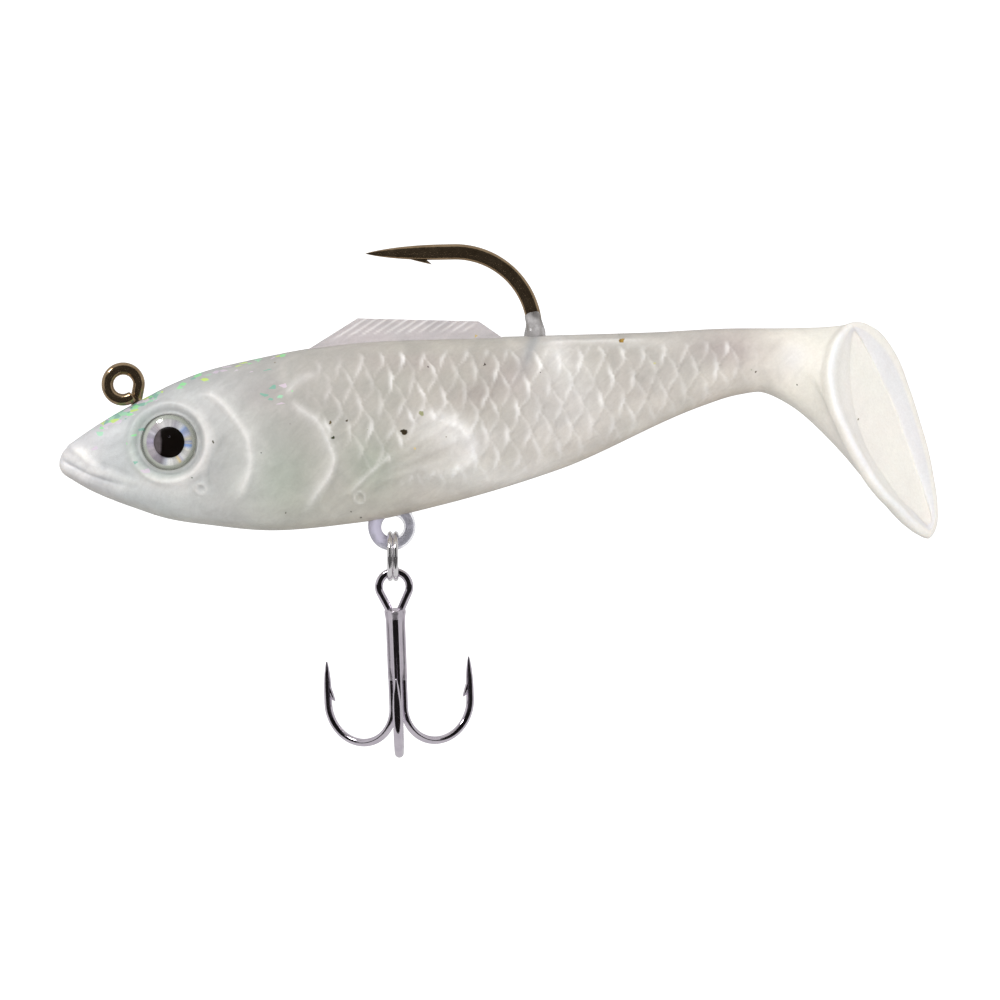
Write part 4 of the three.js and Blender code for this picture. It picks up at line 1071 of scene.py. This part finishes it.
def jig_hook_path():
    """Round the line eye, down beside the loop's start, along the shank and round the bend to the point.

    The loop sways from one side to the other on its way round, so that its ends pass each other.
    """
    loop = arc(0, 0, LINE_EYE_R, -50, -360, 90)
    way = np.linspace(0, 1, 90)
    sway = -LOOP_SWAY * np.cos(math.pi * way) * np.abs(np.cos(math.pi * way))
    elbow = arc(ELBOW_X, SHANK_Z + ELBOW_R, ELBOW_R, 180, 270, 14)
    spear = np.linspace(BEND_X - 1, HOOK_POINT_X, 30)
    parts = [
        upright(loop, sway), upright([(1.86, -0.6), (1.75, -1.15)], LOOP_SWAY),
        upright(elbow, LOOP_SWAY * (1 - np.linspace(0, 1, 14))), upright([(12, SHANK_Z), (38, SHANK_Z)]),
        upright(arc(BEND_X, BEND_Z, BEND_R, -90, 90, 100)),
        upright([(x, BEND_Z + BEND_R - SPEAR_FALL * (BEND_X - x)) for x in spear]),
    ]
    return even(np.concatenate(parts), 0.22)


def jig_hook_sizes(path):
    """Round wire, forged flat in the bend, drawn out to a needle point."""
    forged = ramp(0, 8, path[:, 2])
    from_tip = np.clip((path[:, 0] - HOOK_POINT_X) / HOOK_POINT_LENGTH, 0.0, 1.0)
    point = (path[:, 2] > BEND_Z) & (path[:, 0] < BEND_X)
    taper = np.where(point, np.clip(1 - (1 - from_tip) ** 2, 0, 1) ** 0.8, 1.0)
    taper = np.maximum(taper, 0.02)
    return (WIRE_R + 0.23 * forged) * taper, (WIRE_R - 0.13 * forged) * taper


def blade_grid(outline, thick):
    """A thin plate from a closed outline: four copies of it through the thickness, the outer two smaller."""
    outline = np.asarray(outline, float)
    layers = np.array([-1.0, -0.7, 0.7, 1.0])
    shrink = np.array([0.55, 1.0, 1.0, 0.55])
    middle = outline.mean(0)
    rings = [np.column_stack([middle + (outline - middle) * size, np.full(len(outline), thick / 2 * layer)])
             for layer, size in zip(layers, shrink)]
    return np.array(rings)


def build_jig_hook():
    """The hook's wire, its first ring a little narrower, and the barb as a thin plate under its point."""
    path = jig_hook_path()
    in_plane, over = jig_hook_sizes(path)
    in_plane[:1] *= 0.8
    grid = tube_grid(path, in_plane, over, ACROSS, 28, 2.15)
    hook = surface("jig_hook_wire", grid, BRONZED)
    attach(hook, "body")
    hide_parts("jig_hook")
    barb_rings = blade_grid(route(HOOK_BARB, 22), HOOK_BARB_THICK)[..., [0, 2, 1]]
    barb = surface("jig_hook_barb", barb_rings, BRONZED)
    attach(barb, "body")


def build_exit_bead():
    """A bead of plastisol: a lumpy barrel round the wire, drawn up it in a thin film."""
    level = np.linspace(0, 1, 60)
    turn = np.linspace(0, TAU, 56, endpoint=False)
    radius = smooth_through(BEAD_RADIUS)(level)
    lumps = (1 + 0.05 * np.sin(3 * turn + 5 * level[:, None])
             + 0.03 * np.sin(5 * turn - 9 * level[:, None] + 1))
    z = BEAD_FOOT_Z + BEAD_HEIGHT * level[:, None] + 0.25 * np.cos(turn + 0.8) * level[:, None]
    lean = BEND_X + np.sqrt(BEND_R ** 2 - np.minimum((z - BEND_Z) ** 2, 40))
    x = lean + radius[:, None] * lumps * np.cos(turn)
    y = 0.86 * radius[:, None] * lumps * np.sin(turn)
    milk = np.broadcast_to(0.5 + 0.3 * np.sin(2 * turn + 7 * level[:, None]), x.shape).copy()
    bead = surface("hook_exit_bead", np.stack([x, y, z], axis=-1), BEAD_PLASTIC,
                   {"milk": milk})
    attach(bead, "body")
    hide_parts("hook_exit_bead")


# ---- eyes ----

def eye_frame(side):
    """The middle of the eye's foil, its way out, its way towards the tail, and up."""
    out = np.array([-math.sin(EYE_YAW), side * math.cos(EYE_YAW), 0])
    aft = np.array([math.cos(EYE_YAW), side * math.sin(EYE_YAW), 0])
    return np.array([EYE_X, side * EYE_BASE, EYE_Z]), out, aft, np.array([0, 0, 1.0])


def turned(profile, side, sides=72):
    """A profile of (radius, out) turned about the eye's axis, and the turn of each column."""
    middle, out, aft, up = eye_frame(side)
    radius, height = np.array(profile, float).T
    turn = np.linspace(0, TAU, sides, endpoint=False)
    ring = np.cos(turn)[:, None] * aft + np.sin(turn)[:, None] * up
    return middle + radius[:, None, None] * ring + height[:, None, None] * out, turn


def over_grid(values, grid):
    """One value per row, spread over the columns of a grid."""
    return np.broadcast_to(values[:, None], grid.shape[:2]).copy()


def build_eye_foil(word, side):
    """A shallow dished disc. Its points keep their turn and radius for the wedges of colour."""
    profile = [(r, 0.0) for r in (0.4, 1.5, 3.2)] + [(3.4, 0.03), (EYE_FOIL_R, 0.12), (3.36, 0.2)]
    profile += [(r, 0.22 - 0.04 * math.cos(r)) for r in (3.1, 2.8, 2.5, 2.2, 1.9, 1.5, 0.8, 0.2)]
    grid, turn = turned(profile, side)
    radius = np.array([r for r, _ in profile])
    attributes = {"turn": np.broadcast_to(turn / TAU, grid.shape[:2]).copy(),
                  "out": over_grid(radius / EYE_R, grid)}
    foil = surface("eye_foil_" + word, grid, EYE_FOIL, attributes)
    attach(foil, "body")
    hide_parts("eye_foil_" + word)


def build_pupil(word, side):
    """A low disc with a rounded edge, on the foil."""
    profile = [(0.3, 0.24), (1.85, 0.24), (PUPIL_R, 0.3), (PUPIL_R, 0.5), (1.88, 0.56), (1.6, 0.6),
               (0.9, 0.63), (0.1, 0.64)]
    pupil = surface("eye_pupil_" + word, turned(profile, side)[0], PUPIL)
    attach(pupil, "body")
    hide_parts("eye_pupil_" + word)


def build_lens(word, side):
    """A flat-backed dome: an upright edge, then a half ellipse over the eye. Its rim is a little darker."""
    profile = [(0.1, 0.7), (1.5, 0.7), (3.2, 0.7), (3.44, 0.74), (LENS_R, 0.85), (LENS_R, 1.0), (3.46, 1.14)]
    profile += [(EYE_R * math.cos(a), 1.0 + 1.1 * math.sin(a)) for a in np.linspace(0.25, 1.54, 22)]
    grid, _ = turned(profile, side)
    radius = np.array([r for r, _ in profile])
    rim = over_grid(ramp(2.7, LENS_R, radius), grid)
    lens = surface("eye_lens_" + word, grid, LENS, {"rim": rim})
    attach(lens, "body")
    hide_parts("eye_lens_" + word)


def build_bubble(word, side):
    """The rim of a small air bubble between pupil and lens: a ring of thin round wire."""
    middle, out, aft, up = eye_frame(side)
    turn = np.linspace(0, TAU, 24, endpoint=False)
    ring = np.cos(turn)[:, None] * aft + np.sin(turn)[:, None] * up
    seat = middle + 0.66 * out + 0.05 * aft + 0.72 * up
    round_wire = np.linspace(0, TAU, 8, endpoint=False)
    across = BUBBLE_R + BUBBLE_WIRE_R * np.cos(round_wire)
    over = BUBBLE_WIRE_R * np.sin(round_wire)
    bubble = seat + across[:, None, None] * ring + over[:, None, None] * out
    mark = surface("eye_bubble_" + word, bubble, DULL_WIRE, closed_rows=True)
    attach(mark, "body")


# ---- belly eye, split ring and treble ----

def build_belly_eye():
    """The belly wire, from the lead head to a nearly closed loop, and the plastisol sleeve over the loop.

    The sleeve thins a little a third of the way round, and its milkiness grows along it.
    """
    leg = route(BELLY_LEG, 40)
    loop = arc(BELLY_EYE_X, BELLY_EYE_Z, BELLY_EYE_R, 90, -215, 110)
    path = even(upright(np.concatenate([leg, loop])), 0.18)
    size = rounded_ends(path, np.full(len(path), BELLY_WIRE_R))
    wire = surface("belly_eye_wire", tube_grid(path, size, size, ACROSS, 22), DULL_WIRE)
    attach(wire, "body")
    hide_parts("belly_eye_wire")
    path = upright(arc(BELLY_EYE_X, BELLY_EYE_Z, BELLY_EYE_R, 80, -240, 150))
    way = np.linspace(0, 1, 150)
    thick = SLEEVE_R - 0.1 * bump(way - 0.3, 0.16) + 0.02 * np.sin(way * 23)
    grid = tube_grid(path, thick, thick * 0.98, ACROSS, 36)
    sleeve = surface("belly_eye_sleeve", grid, CLOUDED,
                     {"milk": over_grid(ramp(0.4, 0.7, way), grid)})
    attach(sleeve, "body")
    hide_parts("belly_eye_sleeve")


def build_split_ring():
    """Nearly two turns of flat wire; half way round it steps over from one turn's plane to the other's."""
    turns = np.linspace(-0.915, 0.915, 300)
    angle = TAU * turns
    cross = RING_COIL_OUT * (2 * ramp(-0.09, 0.09, turns) - 1)
    circle = np.stack([cross, RING_R * np.cos(angle), RING_R * np.sin(angle)], axis=1)
    path = np.array([RING_X, 0, RING_Z]) + circle
    grid = tube_grid(path, RING_WIRE_DEEP, RING_WIRE_WIDE, ALONG, 28, 1.65)
    ring = surface("split_ring_coil", grid, BRIGHT_NICKEL)
    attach(ring, "split_ring")
    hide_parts("split_ring")


def hang(points):
    """Carries points from the treble's own frame, hung straight, to its resting lean in the split ring."""
    a, b = TREBLE_LEAN, TREBLE_TIP_IN
    lean = np.array([[1, 0, 0], [0, math.cos(a), -math.sin(a)], [0, math.sin(a), math.cos(a)]])
    tip_in = np.array([[math.cos(b), 0, math.sin(b)], [0, 1, 0], [-math.sin(b), 0, math.cos(b)]])
    return points @ (lean @ tip_in).T + np.array([RING_X, 0, RING_Z])


def arm_outline():
    """One arm in its own plane as (out, height): round bend, then a straight spear up to the tip."""
    r = (TREBLE_REACH - TREBLE_SHANK_OUT) / 2
    bend = arc(TREBLE_SHANK_OUT + r, TREBLE_BEND_BOTTOM + r, r, 180, 360, 70)
    height = np.linspace(TREBLE_BEND_BOTTOM + r + 0.2, TREBLE_TIP, 40)
    return np.concatenate([bend, np.stack([np.full(40, TREBLE_REACH), height], axis=1)])


def in_arm_plane(points, azimuth):
    """(out, height) points of an arm, turned about the shank."""
    out, height = np.asarray(points, float).T
    return np.stack([out * math.cos(azimuth), out * math.sin(azimuth), height], axis=1)


def spear_sizes(path):
    """Wire size along a hook: full, then drawn out to the tip over the last stretch of the spear."""
    on_spear = np.hypot(path[:, 0], path[:, 1]) > TREBLE_REACH - 0.4
    from_tip = np.clip((TREBLE_TIP - path[:, 2]) / TREBLE_POINT_LENGTH, 0, 1)
    taper = np.where(on_spear, np.clip(1 - (1 - from_tip) ** 2, 0.0004, 1) ** 0.7, 1.0)
    return TREBLE_WIRE_R * taper


def build_barb(name, azimuth):
    """A barb on the inside of a spear: a thin plate in the arm's plane."""
    inner, foot = TREBLE_REACH - TREBLE_WIRE_R, TREBLE_TIP - 5.0
    outline = route([
        (inner + 0.38, foot + 2.5), (inner + 0.06, foot + 1.6), (inner - 0.3, foot + 0.6),
        (inner - 0.5, foot - 0.1), (inner - 0.12, foot + 0.12), (inner + 0.3, foot + 0.7),
        (inner + 0.42, foot + 1.6)], 20)
    rings = blade_grid(outline, TREBLE_BARB_THICK)
    out, height, across = rings[..., 0], rings[..., 1], rings[..., 2]
    c, s = math.cos(azimuth), math.sin(azimuth)
    points = np.stack([out * c - across * s, out * s + across * c, height], axis=-1)
    barb = surface(name, hang(points), BLACK_NICKEL)
    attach(barb, "treble_hook")


def build_treble():
    """Two wires. The first runs from one tip over the eye to the other tip. The second is the front arm,
    which is a little thicker.
    """
    arm = arm_outline()
    eye_middle = TREBLE_EYE_TOP - TREBLE_EYE_R
    eye = upright(arc(0, eye_middle, TREBLE_EYE_R, 200, -20, 90))
    left, right = in_arm_plane(arm, LEFT), in_arm_plane(arm, RIGHT)
    neck = [in_arm_plane([(TREBLE_SHANK_OUT, TREBLE_SHANK_TOP)], a) for a in (LEFT, RIGHT)]
    path = even(np.concatenate([left[::-1], neck[0], eye, neck[1], right]), 0.2)
    size = spear_sizes(path)
    grid = tube_grid(path, size, size, ACROSS, 22)
    double = surface("treble_double_wire", hang(grid), BLACK_NICKEL)
    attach(double, "treble_hook")
    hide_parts("treble_double_hook")
    shank = [(TREBLE_SHANK_OUT, BRAZE_TOP - 0.6), (TREBLE_SHANK_OUT, -12)]
    path = even(in_arm_plane(np.concatenate([shank, arm]), FRONT), 0.2)
    size = spear_sizes(path)
    grid = tube_grid(path, size * 1.12, size * 1.12, ALONG, 22)
    third = surface("treble_third_wire", hang(grid), BLACK_NICKEL)
    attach(third, "treble_hook")
    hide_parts("treble_third_hook")
    for word, azimuth in (("front", FRONT), ("left", LEFT), ("right", RIGHT)):
        build_barb("treble_barb_" + word, azimuth)


def build_braze():
    """The braze drawn over the three wires: in each direction it follows the nearest wire's outside, and
    fills the valleys between them. It thins to nothing down the shank.
    """
    turn = np.linspace(0, TAU, 96, endpoint=False)
    level = np.linspace(0, 1, 110)
    height = BRAZE_TOP + (BRAZE_END - BRAZE_TOP) * level
    cover = 0.07 * ramp(0, 0.05, level) * ramp(1.0, 0.9, level) - 0.04
    swell = 0.14 * bump(level - 0.04, 0.07)
    r = TREBLE_WIRE_R + cover + swell
    valley = 0.8 + 0.16 * bump(level - 0.05, 0.12) - 0.25 * ramp(0.75, 1.0, level)
    reach = np.tile(valley[:, None], (1, len(turn)))
    for azimuth in (FRONT, LEFT, RIGHT):
        gap = np.abs((turn - azimuth + math.pi) % TAU - math.pi)
        offset = TREBLE_SHANK_OUT * np.sin(gap)
        room = np.clip(r[:, None] ** 2 - offset ** 2, 0, None)
        over = np.where((gap < math.pi / 2) & (room > 0), TREBLE_SHANK_OUT * np.cos(gap) + np.sqrt(room), 0)
        reach = np.maximum(reach, over)
    reach *= ramp(-0.004, 0.02, level)[:, None] * 0.35 + 0.65
    grid = np.stack([reach * np.cos(turn), reach * np.sin(turn), over_grid(height, reach)], axis=-1)
    braze = surface("treble_braze", hang(grid), BRAZE)
    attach(braze, "treble_hook")
    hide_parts("treble_braze")


# ---- stage ----

def stage_mesh(name, points, faces, material):
    """A mesh of the stage, which is no part of the lure."""
    mesh = bpy.data.meshes.new(name)
    mesh.from_pydata(points, [], faces)
    mesh.materials.append(material)
    piece = bpy.data.objects.new(name, mesh)
    bpy.context.scene.collection.objects.link(piece)
    return piece


def build_sweep():
    """A white sweep: floor, then a wide curve up into the backdrop. It glows a little to stay white."""
    material, _, principled = shader("white_sweep")
    principled.inputs["Base Color"].default_value = (0.9, 0.9, 0.9, 1)
    principled.inputs["Roughness"].default_value = 0.9
    principled.inputs["Emission Color"].default_value = (1, 1, 1, 1)
    principled.inputs["Emission Strength"].default_value = 0.75
    curve_r = 1200
    curve = arc(3000, curve_r + FLOOR_Z, curve_r, -90, 0, 24)
    profile = np.concatenate([[(-3000, FLOOR_Z)], curve, [(4200, 5000)]])
    points = [(x * MM, y * MM, z * MM) for y, z in profile for x in (-5000, 5000)]
    faces = [(2 * i, 2 * i + 1, 2 * i + 3, 2 * i + 2) for i in range(len(profile) - 1)]
    sweep = stage_mesh("white_sweep", points, faces, material)
    sweep.visible_diffuse = False
    sweep.visible_glossy = False


def build_dark_tent():
    """A black box behind the camera, open towards the lure, and a black floor from it towards the lure.

    Only reflections see them, so they are the dark cores of polished wire.
    """
    material, _, principled = shader("dark_tent")
    principled.inputs["Base Color"].default_value = (0.012, 0.011, 0.011, 1)
    principled.inputs["Roughness"].default_value = 1.0
    principled.inputs["Specular IOR Level"].default_value = 0.0
    middle, half, low = 47, 1500, -70
    back, front, floor_end = -1050, -900, -30
    left, right = middle - half, middle + half
    ring = [(left, low), (right, low), (right, half), (left, half)]
    corners = [(x, y, z) for y in (back, front) for x, z in ring]
    corners += [(left, floor_end, low), (right, floor_end, low)]
    points = [(x * MM, y * MM, z * MM) for x, y, z in corners]
    faces = [(0, 1, 2, 3)] + [(i, (i + 1) % 4, (i + 1) % 4 + 4, i + 4) for i in range(4)] + [(4, 5, 9, 8)]
    tent = stage_mesh("dark_tent", points, faces, material)
    tent.visible_camera = False
    tent.visible_diffuse = False
    tent.visible_shadow = False
    tent.visible_transmission = False


def soft_light(name, place, size, power, mirrored=False):
    """A square soft box that faces the middle of the lure. Reflections see it only if mirrored."""
    data = bpy.data.lights.new(name, "AREA")
    data.size = size * MM
    data.energy = power
    lamp = bpy.data.objects.new(name, data)
    lamp.location = [c * MM for c in place]
    aim = LURE_MIDDLE - np.array(place)
    yaw = math.atan2(aim[1], aim[0]) - math.pi / 2
    pitch = math.atan2(aim[2], math.hypot(aim[0], aim[1]))
    lamp.rotation_euler = (math.pi / 2 + pitch, 0, yaw)
    lamp.visible_glossy = mirrored
    lamp.visible_camera = False
    bpy.context.scene.collection.objects.link(lamp)


def build_light():
    """A white room, and three boxes on the left side: a key box high ahead, a fill box behind the tail, and a
    low box level with the treble.
    """
    world = bpy.data.worlds.new("white_room")
    bpy.context.scene.world = world
    world.use_nodes = True
    background = world.node_tree.nodes["Background"]
    background.inputs["Color"].default_value = (1, 1, 1, 1)
    background.inputs["Strength"].default_value = 0.6
    soft_light("key_box", (-330, -330, 430), 150, 1.45, mirrored=True)
    soft_light("fill_box", (420, -420, 120), 200, 1.0)
    soft_light("low_box", (60, -330, -66), 220, 0.6)
    bpy.context.scene.view_settings.view_transform = "Standard"


# ---- assembly ----

build_skin()
build_back_fin()
build_jig_hook()
build_exit_bead()
for eye_word, eye_side in (("left", -1), ("right", 1)):
    build_eye_foil(eye_word, eye_side)
    build_pupil(eye_word, eye_side)
    build_lens(eye_word, eye_side)
    build_bubble(eye_word, eye_side)
build_belly_eye()
build_split_ring()
build_treble()
build_braze()
for hidden, finish in (("lead_head", LEAD), ("foil_left", FLASH_FOIL), ("foil_right", FLASH_FOIL)):
    for material_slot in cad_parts[hidden].material_slots:
        material_slot.material = finish
build_sweep()
build_dark_tent()
build_light()
